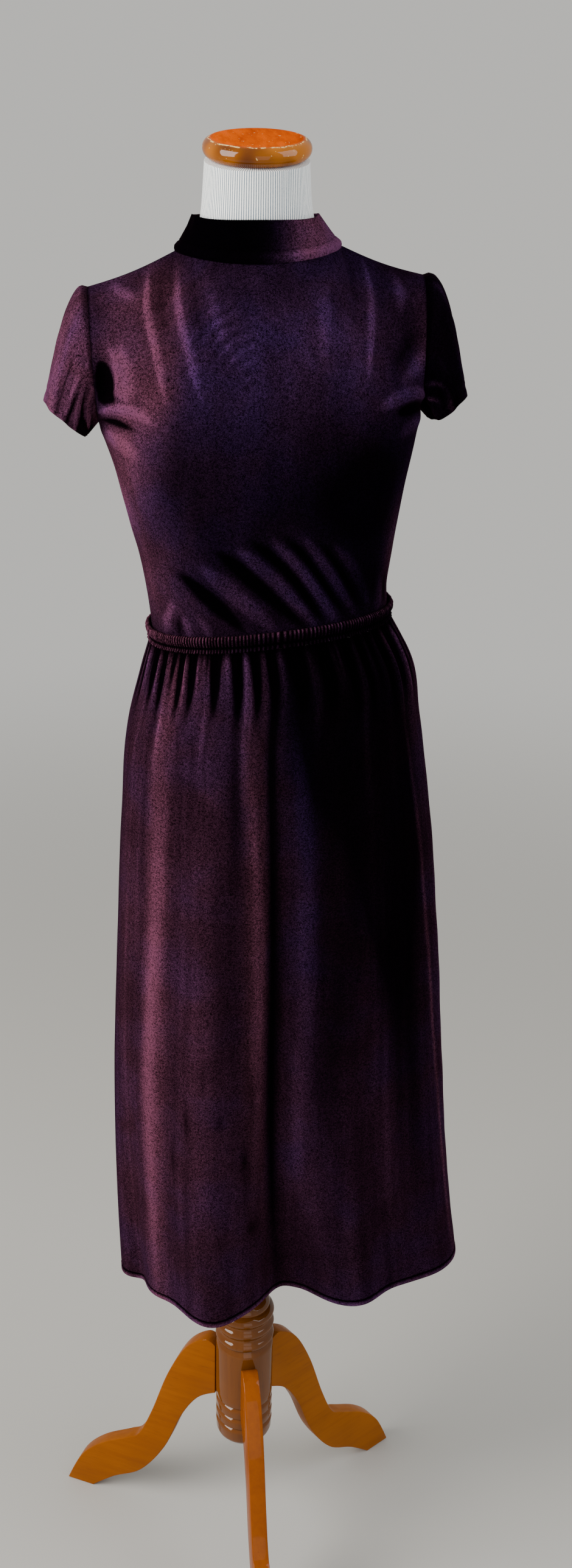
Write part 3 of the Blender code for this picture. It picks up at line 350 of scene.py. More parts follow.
# Painted light and shade of the sleeves, as degrees round the armhole and shares of the way to the hem
LEFT_SLEEVE_PAINTED_LIGHT = rows(Stroke,
    (42, 1.02, 24, 0.38, -2.6, 0), (20, 0.8, 14, 0.4, -1.6, 0), (86, 0.1, 14, 0.3, -0.25, 0),
    (118, 0.9, 6, 0.22, -0.6, 0), (52, 0.42, 3, 0.34, 1.9, -0.1, -31), (40, 0.45, 4, 0.38, -0.7, 0, -31),
    (29, 0.35, 3, 0.25, 1.1, -0.1, -25), (62, 0.6, 3.5, 0.38, -1.1, 0, -25),
    (73, 0.62, 4, 0.36, 1.5, 0, -10), (86, 0.75, 3.5, 0.3, -1, 0, 15), (98, 0.75, 4.5, 0.3, 1.1, 0, 20),
    (112, 0.55, 3, 0.25, -0.7, 0, 10), (128, 0.4, 8, 0.4, 0.15, 0.2), (160, 0.1, 30, 0.2, -0.15, 0.1))
RIGHT_SLEEVE_PAINTED_LIGHT = rows(Stroke,
    (64, 0.3, 2.5, 0.24, 0.5, -0.2, 45), (48, 0.38, 2.5, 0.26, 0.46, -0.2, 40),
    (28, 0.8, 9, 0.25, 0.5, -0.35), (78, 0.9, 8, 0.14, 0.3, -0.25), (150, 0.12, 5, 0.08, 0.25, 0),
    (300, 0.7, 20, 0.4, 0.25, -0.3))
SLEEVE_STROKES = {-1: LEFT_SLEEVE_PAINTED_LIGHT, 1: RIGHT_SLEEVE_PAINTED_LIGHT}
# Outline of the casing all round, from its inner top edge: tube, stitched line, lip
CASING_OUTLINE = rows(CasingPoint,
    (0.0010, 0.10, 0.0), (0.0030, 0.00, 0.8), (0.0052, 0.06, 1.0), (0.0064, 0.24, 1.0),
    (0.0060, 0.44, 1.0), (0.0046, 0.60, 0.9), (0.0036, 0.70, 0.25), (0.0042, 0.82, 0.8),
    (0.0052, 0.97, 1.0), (0.0046, 1.00, 0.8), (0.0012, 1.00, 0.0), (0.0010, 0.10, 0.0))
LEG_OUTLINE = rows(LegPoint,
    (COLUMN_RADIUS + SEAM_GAP, 0.306, True), (0.052, 0.3125), (0.08, 0.289), (0.106, 0.237), (0.13, 0.166),
    (0.15, 0.12), (0.17, 0.105), (0.21, 0.08), (0.24, 0.048), (0.262, 0, True), (0.223, 0, True),
    (0.19, 0.028), (0.148, 0.056), (0.112, 0.109), (0.086, 0.174), (0.062, 0.213),
    (COLUMN_RADIUS + SEAM_GAP, 0.2295, True))
# Turned column: its rounded foot, one groove from its middle, the neck under the beads, its top
COLUMN_FOOT = rows(RingPoint, (0.02, COLUMN_BOTTOM), (0.0262, 0.1766), (0.0312, 0.1792),
                   (0.0344, 0.1832), (0.0358, 0.1872))
COLUMN_GROOVE = ((-0.0004, -0.0062), (0, -0.004), (-0.0008, -0.0022), (-0.0028, 0), (-0.0008, 0.0022),
                 (0, 0.004))
GROOVE_HEIGHTS, BEAD_HEIGHTS = (0.2040, 0.2205, 0.2375), (0.3370, 0.3558, 0.3735)
COLUMN_NECK = rows(RingPoint, (COLUMN_RADIUS, 0.25), (COLUMN_RADIUS, 0.32), (COLUMN_RADIUS - 0.0006, 0.3262),
                   (COLUMN_RADIUS - 0.0034, 0.3288))
COLUMN_HEAD = rows(RingPoint, (0.0302, 0.3815), (0.0318, 0.3832), (0.0316, 0.3868), (0.0286, 0.3912),
                   (0.0232, 0.3944), (0.016, COLUMN_TOP))
LAMPS = rows(Lamp,
    ("key_light", "key_watts", (-2.3, -0.8, 2.3), (0, 0, 1.15), 1.6, (1.0, 0.97, 0.93)),
    ("fill_light", "fill_watts", (1.9, -0.9, 2.5), (0, 0, 1.2), 1.5, (0.94, 0.96, 1.0)),
    ("front_light", "front_watts", (0.2, -2.6, 1.0), (0, 0, 0.8), 1.4, (1.0, 0.98, 0.96)))
HEM_Z = SKIRT_LEVELS[-1].z
BODICE_FOLDS = {"front": FRONT_FOLDS, "back": BACK_FOLDS}
BODICE_STROKES = {"front": FRONT_PAINTED_LIGHT, "back": BACK_PAINTED_LIGHT}
SKIRT_FOLDS = {"front": (FRONT_GATHERS, FRONT_WAVES, FRONT_HANGS),
               "back": (BACK_GATHERS, BACK_WAVES, BACK_HANGS)}
SKIRT_STROKES = {"front": SKIRT_FRONT_PAINTED_LIGHT, "back": SKIRT_BACK_PAINTED_LIGHT}


def colour(name, description, default):
    """A colour that a user may change."""
    return FloatVectorProperty(name=name, description=description, default=default, subtype="COLOR",
                               size=3, min=0, max=1)


def length(name, description, default, least, most):
    """A length in metres that a user may change."""
    return FloatProperty(name=name, description=description, default=default, min=least, max=most,
                         unit="LENGTH", precision=4)


def strength(name, description, default, most):
    """The strength of a light."""
    return FloatProperty(name=name, description=description, default=default, min=0, max=most)


class VelvetDressSettings(bpy.types.PropertyGroup):
    """Sizes and colours of the dress"""

    wall: length("Cloth", "Thickness of one layer of velvet", WALL, 0.0005, 0.003)
    casing_ridges: IntProperty(name="Casing ridges", description="Ridges round the elastic casing",
                               default=219, min=60, max=300)
    base: colour("Velvet", "Colour between the hairs of the nap", (0.0005, 0.0003, 0.0006))
    # The colour of the painted highlights on the nap
    lit: colour("Lit nap", "Colour of the hairs where they catch light", (0.130, 0.039, 0.072))
    # The bluer hue of the painted highlights, in brushed patches and where the strokes paint it blue
    cool: colour("Cool nap", "Bluer colour of brushed patches", (0.052, 0.021, 0.092))
    sheen: colour("Sheen", "Colour of the sheen at a grazing look", (0.90, 0.34, 0.62))


class DressFormSettings(bpy.types.PropertyGroup):
    """Colours of the form and its stand"""

    stripe_pitch: length("Stripe pitch", "Distance between the stripes", 0.0024, 0.001, 0.01)
    cotton: colour("Jersey", "White of the jersey", (0.99, 0.995, 0.96))
    stripe: colour("Stripe", "Blue-grey of the stripes", (0.14, 0.19, 0.24))
    amber: colour("Varnish", "Amber of the varnished wood", (0.210, 0.068, 0.0005))
    deep: colour("Dark grain", "Darker lines of the grain", (0.125, 0.032, 0.0003))


class StudioSettings(bpy.types.PropertyGroup):
    """Floor, lights and camera"""

    floor: colour("Floor", "Colour of the floor near the stand", (0.42, 0.412, 0.39))
    key_watts: strength("Key light", "Power of the light on the left", 150.0, 900)
    fill_watts: strength("Fill light", "Power of the light on the right", 40.0, 900)
    front_watts: strength("Front light", "Power of the light at the front", 8.0, 900)
    world: strength("Room light", "Strength of the light from all round", 0.62, 5)
    air: colour("Room colour", "Colour of the light from all round", (1.0, 0.985, 0.94))


def maths(operation):
    """An operator on sockets and its reflected form, as one Math node each."""
    def forward(self, other):
        return self.nodes.math(operation, self, other)

    def reflected(self, other):
        return self.nodes.math(operation, other, self)
    return forward, reflected


class Sock:
    """A value in a material's nodes. Sums of these add Math nodes."""

    __add__, __radd__ = maths("ADD")
    __sub__, __rsub__ = maths("SUBTRACT")
    __mul__, __rmul__ = maths("MULTIPLY")
    __pow__, __rpow__ = maths("POWER")

    def __init__(self, nodes, socket):
        self.nodes, self.socket = nodes, socket

    def __neg__(self):
        return self * -1.0

    def between(self, low, high, start=0.0, end=1.0):
        """Eased from start to end while the value goes from low to high."""
        return self.nodes.add("MapRange", {"interpolation_type": "SMOOTHSTEP", "clamp": True},
                              dict(enumerate((self, low, high, start, end))))

    def bell(self, middle, half_width):
        """1 at the middle, falling to 0 a half width away."""
        return self.nodes.math("ABSOLUTE", self - middle).between(0.0, half_width, 1.0, 0.0)


class Nodes:
    """The nodes of one new material, with its Principled shader."""

    def __init__(self, name, plain):
        self.material = bpy.data.materials.new(name)
        self.material.use_nodes = True
        self.material.diffuse_color = (*plain, 1)
        self.tree = self.material.node_tree
        self.shader = self.tree.nodes["Principled BSDF"]

    def put(self, socket, value):
        """Links a value to a socket, or sets it there."""
        if isinstance(value, Sock):
            self.tree.links.new(value.socket, socket)
        elif hasattr(value, "__len__") and socket.type == "RGBA":
            socket.default_value = (*value[:3], 1)
        else:
            socket.default_value = value

    def add(self, kind, settings, sockets, out=0):
        """A node with its settings first, then its sockets by place or name; gives one output."""
        node = self.tree.nodes.new("ShaderNode" + kind)
        for key, value in settings.items():
            setattr(node, key, value)
        for key, value in sockets.items():
            self.put(node.inputs[key], value)
        return Sock(self, node.outputs[out])

    def math(self, operation, *values):
        """A Math node."""
        return self.add("Math", {"operation": operation}, dict(enumerate(values)))

    def moved(self, vector, location=(0, 0, 0), turn=(0, 0, 0), scale=(1, 1, 1)):
        """A vector stretched, turned and moved."""
        return self.add("Mapping", {"vector_type": "POINT"},
                        {"Vector": vector, "Location": location, "Rotation": turn, "Scale": scale})

    def place(self, **change):
        """Object coordinates, changed as any vector is."""
        return self.moved(self.add("TexCoord", {}, {}, "Object"), **change)

    def split(self, vector):
        """The x, y and z of a vector."""
        first = self.add("SeparateXYZ", {}, {0: vector})
        return [Sock(self, out) for out in first.socket.node.outputs]

    def painted(self, name):
        """A value painted on the piece's own points."""
        return self.add("Attribute", {"attribute_type": "GEOMETRY", "attribute_name": name}, {}, "Fac")

    def noise(self, where, scale, detail=2.0, roughness=0.5):
        """Soft noise from 0 to 1."""
        return self.add("TexNoise", {"noise_dimensions": "3D"},
                        {"Vector": where, "Scale": scale, "Detail": detail, "Roughness": roughness})

    def mix(self, share, first, second):
        """A colour between two."""
        return self.add("Mix", {"data_type": "RGBA"}, {0: share, 6: first, 7: second}, 2)

    def bump(self, height, distance, strength):
        """A bumped normal."""
        return self.add("Bump", {}, {"Strength": strength, "Distance": distance, "Height": height})

    def finish(self, tone, roughness, normal=None, **constants):
        """Feeds the shader; the constants go on its own sockets."""
        self.put(self.shader.inputs["Base Color"], tone)
        self.put(self.shader.inputs["Roughness"], roughness)
        if normal is not None:
            self.put(self.shader.inputs["Normal"], normal)
        for key, value in constants.items():
            self.put(self.shader.inputs[key.replace("_", " ")], value)
        return self.material


def velvet(name):
    """Dark velvet whose colour holds painted light and shade: painted highlights and shade from the strokes
    painted on its points, painted shade in fold troughs and painted highlights on ridges, over a fine grain.
    """
    dress = bpy.context.scene.velvet_dress
    n = Nodes(name, dress.base)
    where = n.place()
    hairs = n.noise(where, HAIR_SCALE, 2.0, 0.85)
    clump = n.noise(where, CLUMP_SCALE, 3.0, 0.65)
    patch = n.noise(where, PATCH_SCALE, 3.0, 0.6)
    streak = n.noise(n.place(scale=STREAK_SCALE), 1.0, 3.0, 0.6)
    grain = hairs.between(0.42, 0.64) * HAIR_SHARE + clump.between(0.38, 0.64) * CLUMP_SHARE
    brushed = (patch * 0.5 + streak * 0.5).between(0.36, 0.64, 0.62, 1.25)
    # Painted light and shade: the strokes painted on the points give painted highlights and shade, the relief
    # gives painted shade in fold troughs and painted highlights on ridges
    lit, blue, relief = n.painted("lit"), n.painted("blue"), n.painted("relief")
    fold_shade_and_highlight = relief.between(0.0, 0.5, TROUGH_LIGHT, 1.0) * relief.between(0.5, 1.0, 1.0, RIDGE_LIGHT)
    share = grain * brushed * lit * fold_shade_and_highlight
    cool = (patch.between(0.40, 0.66, -0.12, 0.12) + blue).between(0.0, 1.0)
    tone = n.mix(share, dress.base, n.mix(cool, dress.lit, dress.cool))
    bump = n.bump(clump * 0.5 + hairs * 0.5, VELVET_BUMP, 0.6)
    return n.finish(tone, VELVET_ROUGH - grain * 0.12, bump, Sheen_Weight=0.02, Sheen_Roughness=0.28,
                    Sheen_Tint=dress.sheen, Specular_IOR_Level=0.0)


def jersey(name):
    """White jersey with fine upright stripes that run round the form."""
    form = bpy.context.scene.dress_form
    n = Nodes(name, form.cotton)
    where = n.place(location=(-AXIS_X, -AXIS_Y, 0))
    x, y = n.split(where)[:2]
    turn = n.math("ARCTAN2", x, -y)
    stripes = round(2 * math.pi * (NECK_TOP_RADIUS + 0.003) / form.stripe_pitch)
    sway = n.noise(where, 30.0, 2.0) * 1.3
    wave = n.math("SINE", turn * stripes + sway)
    knit = n.noise(n.place(scale=(1.0, 1.0, 0.55)), KNIT_SCALE, 1.0)
    line = wave.between(-0.25, 0.80) * (0.80 + knit * 0.4)
    soil = n.noise(where, 55.0, 3.0).between(0.62, 0.78)
    tone = n.mix(soil * SOIL_SHARE, n.mix(line, form.cotton, form.stripe), SOIL)
    bump = n.bump(wave * 0.4 + knit * 0.6, KNIT_BUMP, 0.5)
    return n.finish(tone, 0.86, bump, Sheen_Weight=0.25, Sheen_Roughness=0.5, Specular_IOR_Level=0.3)


def toned(wood, tone):
    """A wood colour with each channel scaled."""
    return tuple(channel * share for channel, share in zip(wood, tone))


def varnished(name, turn=(0, 0, 0), tone=(1, 1, 1), coat=0.35, grain=1.0, worn=None, rim=None):
    """Amber varnished wood, its grain along X after the turn; worn and rim give shares from the nodes."""
    form = bpy.context.scene.dress_form
    n = Nodes(name, form.amber)
    own = n.place(turn=turn)
    wide, fine, pore = (n.noise(n.moved(own, scale=stretch), 1.0, 3.0, 0.6) for stretch in WOOD_GRAIN.values())
    cloud = n.noise(own, 14.0, 2.0)
    amber, deep = toned(form.amber, tone), toned(form.deep, tone)
    wood = n.mix(fine.between(0.35, 0.72) * 0.26 * grain + wide.between(0.4, 0.7) * 0.18 * grain, amber, deep)
    wood = n.mix(pore.between(0.60, 0.74) * 0.4, wood, toned(deep, (0.5,) * 3))
    wood = n.mix(cloud.between(0.40, 0.75) * 0.30, wood, toned(amber, (1.3,) * 3))
    rough = 0.30 + fine * 0.10
    shine = coat
    if rim is not None:
        edge = rim(n)
        wood = n.mix(edge, wood, n.mix(cloud.between(0.38, 0.62), RIM_AMBER, RIM_BROWN))
        shine = edge * coat
    if worn is not None:
        chips = worn(n)
        wood = n.mix(chips, wood, CHIPPED)
        rough = rough + chips * 0.35
    bump = n.bump(fine * 0.7 + pore * 0.3, 0.0003, 0.25)
    return n.finish(wood, rough, bump, Coat_Weight=shine, Coat_Roughness=0.06, Specular_IOR_Level=0.0)


def cap_place(n):
    """The disc's own place: its axis is Z, whatever way the neck leans."""
    moved = n.place(location=(-AXIS_X, -AXIS_Y, -CAP_CENTRE_Z))
    return n.moved(n.moved(moved, turn=(0, 0, NECK_TURN)), turn=(-NECK_LEAN, 0, 0))


def cap_rim(n):
    """1 on the rim, which is browner and shines more, and 0 on the top."""
    x, y = n.split(cap_place(n))[:2]
    return (x * x + y * y).between((CAP_RADIUS - 0.010) ** 2, (CAP_RADIUS - 0.004) ** 2)


def cap_chips(n):
    """Varnish chipped off along the upper edge of the rim, most at the front."""
    own = cap_place(n)
    x, y, z = n.split(own)
    wander = n.noise(own, 90.0, 3.0) * 0.0050 - 0.0025
    edge = ((x * x + y * y) ** 0.5 + wander).bell(CAP_RADIUS - 0.0060, 0.0012) * z.between(0.003, 0.005)
    broken = n.noise(own, 170.0, 3.0, 0.7).between(0.46, 0.54)
    spots = n.noise(own, 260.0, 2.0, 0.6).between(0.70, 0.72) * z.between(-0.004, 0.0)
    front = y.between(-0.030, 0.050, 1.0, 0.45)
    return n.math("MAXIMUM", edge * broken * front, spots * 0.7)


def paper(name, studio):
    """Pale paper that fades far away into the colour of the room."""
    n = Nodes(name, studio.floor)
    x, y = n.split(n.place(location=(-AXIS_X, -AXIS_Y, 0)))[:2]
    far = ((x * x + y * y) ** 0.5).between(FADE_START, FADE_END)
    air = toned(studio.air, (studio.world,) * 3)
    return n.finish(n.mix(far, studio.floor, (0, 0, 0)), 0.9, Emission_Color=n.mix(far, (0, 0, 0), air),
                    Emission_Strength=1.0, Specular_IOR_Level=0.0)


def share_of(value, start, end):
    """How far a value is from start to end, from 0 to 1."""
    return np.clip((value - start) / (end - start), 0, 1)


def bell(value, middle, width):
    """1 at the middle, falling away softly on both sides."""
    return np.exp(-((value - middle) / width) ** 2)


def slide(value, middle, width):
    """From 0 to 1, softly, round the middle."""
    return 1 / (1 + np.exp(-(value - middle) / width))


def unit(vectors):
    """Vectors of length 1."""
    return vectors / (np.linalg.norm(vectors, axis=-1, keepdims=True) + 1e-12)


def blend(first, second, share):
    """Points between two sets of points."""
    return first * (1 - share[..., None]) + second * share[..., None]


def through(knots, values, at):
    """A smooth curve through a table's values: cubic, with slopes taken from the neighbours."""
    knots, values = np.asarray(knots, float), np.asarray(values, float)
    slopes = np.gradient(values, knots)
    i = np.clip(np.searchsorted(knots, at) - 1, 0, len(knots) - 2)
    span = knots[i + 1] - knots[i]
    t = np.clip((at - knots[i]) / span, 0, 1)
    start = (1 + 2 * t) * (1 - t) ** 2 * values[i] + t * (1 - t) ** 2 * span * slopes[i]
    end = t * t * (3 - 2 * t) * values[i + 1] - t * t * (1 - t) * span * slopes[i + 1]
    return start + end


def level_at(levels, z):
    """The table's row at any heights, worked out between its neighbours."""
    levels = sorted(levels)
    knots = [row.z for row in levels]
    return Level(z, *(through(knots, [getattr(row, name) for row in levels], z) for name in Level._fields[1:]))


def ring_point(level, side, place):
    """Point of a level's outline; place is -1 at the left side seam, 0 in the middle, 1 at the right."""
    angle = np.asarray(place) * math.pi / 2
    depth = level.front if side == "front" else level.back
    x = level.half_width * np.sign(angle) * np.abs(np.sin(angle)) ** (2 / PLAN_POWER)
    y = SIDES[side] * depth * np.abs(np.cos(angle)) ** (2 / PLAN_POWER)
    return np.stack([level.middle_x + x, y, level.z + level.rise * x], axis=-1)


def neck_and_shoulders(side, place):
    """The top edge of a bodice panel: shoulder seam, neckline, shoulder seam."""
    place = np.asarray(place)
    out = share_of(np.abs(place), NECK_SHARE, 1)
    angle = np.clip(place / NECK_SHARE, -1, 1) * math.pi / 2
    reach, high = (near + out * (far - near) for near, far in zip(NECK_POINT, SHOULDER_TIP))
    x = np.where(out > 0, np.sign(place) * reach, NECK_POINT[0] * np.sin(angle))
    y = np.where(out > 0, 0, SIDES[side] * NECKLINE_DEPTH[side] * np.cos(angle))
    z = np.where(out > 0, high - SHOULDER_SAG * np.sin(math.pi * out),
                 NECK_POINT[1] - NECKLINE_DROP[side] * np.abs(np.cos(angle)) ** NECKLINE_ROUND)
    return np.stack([CHEST_MIDDLE_X + x, y, z + SHOULDER_RISE * x], axis=-1)


def upper_point(side, place, up):
    """Point of the figure above the underarm; up is 0 at the underarm and 1 at the top edge."""
    place, up = np.broadcast_arrays(np.asarray(place, float), np.asarray(up, float))
    low = ring_point(BODICE_LEVELS[-1], side, place)
    top = neck_and_shoulders(side, place)
    near_arm = np.abs(place) ** 4
    rise = up * (1 - near_arm) + (1 - np.cos(math.pi * up)) / 2 * near_arm
    swell = np.sin(math.pi * up)
    hollow = np.where(place < 0, ARMHOLE_HOLLOW["left"], ARMHOLE_HOLLOW["right"])
    point = blend(low, top, rise)
    point[..., 0] -= np.sign(place) * near_arm * hollow * swell
    point[..., 1] = (top[..., 1] + (low[..., 1] - top[..., 1]) * (1 - up ** SHOULDER_ROUND)
                     + SIDES[side] * ARMHOLE_DEPTH[side] * swell * near_arm)
    return point


def bodice_height(height):
    """Height above the floor, untilted, of the part of the bodice below the underarms."""
    low, high = BODICE_LEVELS[0].z, BODICE_LEVELS[-1].z
    return low + np.clip(height, 0, 1) * (high - low)


def figure_point(side, place, height):
    """Point of the dress from the waist (0) over the underarm (1) to the shoulders (2)."""
    low = ring_point(level_at(BODICE_LEVELS, bodice_height(height)), side, place)
    high = upper_point(side, place, np.clip(height - 1, 0, 1))
    return np.where((np.asarray(height) > 1)[..., None], high, low)


def outward(grid, side):
    """Unit normals of a grid whose rows run upwards and columns towards +X."""
    return unit(np.cross(np.gradient(grid, axis=1), np.gradient(grid, axis=0)) * -SIDES[side])


def fold_height(table, x, z):
    """Height of all folds at points (x, z) of the front view, each tapering to its ends."""
    total = np.zeros_like(x)
    for fold in table:
        marks, fine = (np.linspace(0, 1, count) for count in (len(fold.points), FOLD_STEPS))
        path = np.stack([through(marks, [point[k] for point in fold.points], fine) for k in (0, 1)], axis=-1)
        best, along = np.full_like(x, 1e9), np.zeros_like(x)
        for i, run in enumerate(np.diff(path, axis=0)):
            t = np.clip(((x - path[i, 0]) * run[0] + (z - path[i, 1]) * run[1]) / run.dot(run), 0, 1)
            far = np.hypot(x - path[i, 0] - t * run[0], z - path[i, 1] - t * run[1])
            along = np.where(far < best, (i + t) / (len(path) - 1), along)
            best = np.minimum(far, best)
        taper = np.sin(math.pi * np.clip(along, 0.02, 0.98)) ** 0.7
        width = fold.half_width * (0.75 + 0.5 * np.sin(math.pi * along))
        total += fold.height * taper * bell(best, 0, width)
    return total


def ripple(x, z, seed):
    """Faint unevenness of hanging cloth, a few tenths of a millimetre."""
    return 0.00035 * (np.sin(61 * x + 23 * z + seed) * np.sin(37 * z - 19 * x + 2 * seed)
                      + 0.7 * np.sin(113 * x - 47 * z + 3 * seed) * np.sin(71 * z + 31 * x + seed))


def crush(x, z):
    """Faint chevron marks where the nap of the chest was pressed."""
    near = bell(x, CRUSH["x"], CRUSH["width"]) * bell(z, CRUSH["z"], CRUSH["length"])
    down = z + 0.85 * np.abs(x + 0.012) + 0.005 * np.sin(70 * x + 45 * z)
    return CRUSH["height"] * near * np.sin(2 * math.pi * down / CRUSH["pitch"])


def let_go():
    """Object mode with nothing selected."""
    if bpy.context.mode != "OBJECT":
        bpy.ops.object.mode_set(mode="OBJECT")
    for piece in list(bpy.context.selected_objects):
        piece.select_set(False)


def only(piece):
    """Selects one piece alone."""
    let_go()
    piece.select_set(True)
    bpy.context.view_layer.objects.active = piece


def named(name):
    """The primitive just added, under its name."""
    piece = bpy.context.object
    piece.name = piece.data.name = name
    return piece


def grid_piece(name, cells):
    """A flat grid primitive, and its points' places from 0 to 1 across and along."""
    let_go()
    across, along = cells
    bpy.ops.mesh.primitive_grid_add(x_subdivisions=across, y_subdivisions=along, size=2, calc_uvs=True)
    piece = named(name)
    flat = np.empty(len(piece.data.vertices) * 3)
    piece.data.vertices.foreach_get("co", flat)
    flat = np.round((flat.reshape(-1, 3) + 1) / 2, 6).reshape(along + 1, across + 1, 3)
    return piece, flat[..., 0], flat[..., 1]


def move_points(piece, points):
    """Puts the piece's points where they belong, from the form's axis to the frame."""
    points = points.reshape(-1, 3) + [AXIS_X, AXIS_Y, 0]
    piece.data.vertices.foreach_set("co", points.ravel().astype(np.float32))
    piece.data.update()


def paint(piece, **values):
    """Paints named values on the piece's points, for its material."""
    for name, value in values.items():
        layer = piece.data.attributes.new(name, "FLOAT", "POINT")
        layer.data.foreach_set("value", np.ravel(value).astype(np.float32))


def fold_paint(raised, full):
    """How high points stand in their folds, for painted shade in troughs and painted highlights on ridges: 0.5
    is flat, 1 a full ridge, 0 a full trough.
    """
    return np.clip(0.5 + 0.5 * raised / full, 0, 1)


def paint_light_strokes(strokes, across, along, start):
    """Soft strokes of painted light and shade over a first value: how much lighter the velvet is painted and
    how blue.
    """
    lit, blue = start[0] + 0 * across, start[1] + 0 * across
    for stroke in strokes:
        middle = stroke.across + stroke.lean * (along - stroke.along)
        near = bell(across, middle, stroke.width) * bell(along, stroke.along, stroke.length)
        lit, blue = lit + stroke.lit * near, blue + stroke.blue * near
    return {"lit": np.clip(lit, LEAST_LIT, MOST_LIT), "blue": np.clip(blue, 0, 1)}


def in_edit(piece, *steps):
    """Runs edit-mode steps on all of the piece."""
    only(piece)
    bpy.ops.object.mode_set(mode="EDIT")
    bpy.ops.mesh.select_mode(type="VERT")
    bpy.ops.mesh.select_all(action="SELECT")
    for step in steps:
        step()
    bpy.ops.object.mode_set(mode="OBJECT")


def merge():
    """Joins points that meet at a seam or a pole."""
    bpy.ops.mesh.remove_doubles(threshold=MERGE_DISTANCE)


def close_holes():
    """Fills what is still open."""
    bpy.ops.mesh.fill_holes(sides=0)


def face_out():
    """Turns all faces outwards."""
    bpy.ops.mesh.normals_make_consistent(inside=False)


def face_away(piece, from_point):
    """Turns the faces of an open sheet over if they look towards the point."""
    count = len(piece.data.polygons)
    normals, centres = np.empty(count * 3), np.empty(count * 3)
    piece.data.polygons.foreach_get("normal", normals)
    piece.data.polygons.foreach_get("center", centres)
    away = (normals.reshape(-1, 3) * (centres.reshape(-1, 3) - from_point)).sum(axis=1)
    if np.median(away) < 0:
        in_edit(piece, bpy.ops.mesh.flip_normals)


def add_modifier(piece, kind, **settings):
    """Adds a modifier and applies it."""
    only(piece)
    modifier = piece.modifiers.new(kind.lower(), kind)
    for key, value in settings.items():
        setattr(modifier, key, value)
    bpy.ops.object.modifier_apply(modifier=modifier.name)


def thicken(piece, wall):
    """Gives an open sheet its thickness, inwards."""
    add_modifier(piece, "SOLIDIFY", thickness=wall, offset=-1.0, use_even_offset=False,
                 use_quality_normals=True)


def dress_up(piece, material, nodes, angle=SMOOTH_ANGLE):
    """Gives a finished piece its material, its body and the CAD nodes it stands for."""
    if not piece.data.polygons:
        raise RuntimeError(piece.name + " has no faces")
    piece.data.materials.clear()
    piece.data.materials.append(material)
    only(piece)
    bpy.ops.object.shade_smooth_by_angle(angle=angle)
    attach(piece, "root")
    if nodes:
        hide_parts(*nodes)
    let_go()


def bodice_points(side, u, v):
    """Points of a bodice panel with its folds and the small roll of its seams, and their relief."""
    place, height = u * 2 - 1, v * 2
    grid = figure_point(side, place, height)
    x, z = grid[..., 0], grid[..., 2]
    normal = outward(grid, side)
    raised = fold_height(BODICE_FOLDS[side], x, z)
    relief = raised + crush(x, z) * (side == "front")
    raised += ripple(x, z, BODICE_SEED[side])
    raised *= share_of(np.abs(place), 1, 0.97) * share_of(height, 2, 1.95)
    raised *= share_of(bodice_height(height), CASING_TOP_Z, CASING_TOP_Z + CREASE_RUN_OUT)
    normal[:, [0, -1]] *= np.where((height[:, :1] <= 1)[..., None], [1, 0, 1], [1, 1, 1])
    grid = grid + normal * raised[..., None]
    shoulder = (height > SHOULDER_SEAM_START) & (np.abs(place) > NECK_SHARE)
    grid[..., 1] += SIDES[side] * np.where(shoulder, -SHOULDER_OVERLAP, SEAM_GAP / 2)
    return grid, relief


class DRESS_OT_bodice(bpy.types.Operator):
    """Front and back of the bodice, with the folds pulled from the collar, underarms and waist"""
    bl_idname = "velvet_dress.bodice"
    bl_label = "Bodice"

    def execute(self, context):
        cloth = velvet("bodice_velvet")
        for side in SIDES:
            piece, u, v = grid_piece("velvet_bodice_" + side, BODICE_CELLS[side])
            points, relief = bodice_points(side, u, v)
            move_points(piece, points)
            # Painted light and shade from the strokes, and painted shade near the side seams
            nap = paint_light_strokes(BODICE_STROKES[side], points[..., 0], points[..., 2], BODICE_PAINTED_LIGHT_START)
            nap["lit"] *= np.clip((1 - np.abs(u * 2 - 1)) / 0.022, 0.05, 1)
            paint(piece, relief=fold_paint(relief, FULL_FOLD["bodice"]), **nap)
            face_away(piece, (AXIS_X, AXIS_Y, 1.45))
            thicken(piece, context.scene.velvet_dress.wall)
            dress_up(piece, cloth, ["bodice_" + side])
        return {"FINISHED"}


def armhole_edge(hand, turn):
    """The armhole edge of the bodice; turn runs from the underarm up the front and down the back."""
    up = turn / math.pi
    front = upper_point("front", hand, np.clip(up, 0, 1))
    back = upper_point("back", hand, np.clip(2 - up, 0, 1))
    return np.where((up <= 1)[..., None], front, back)


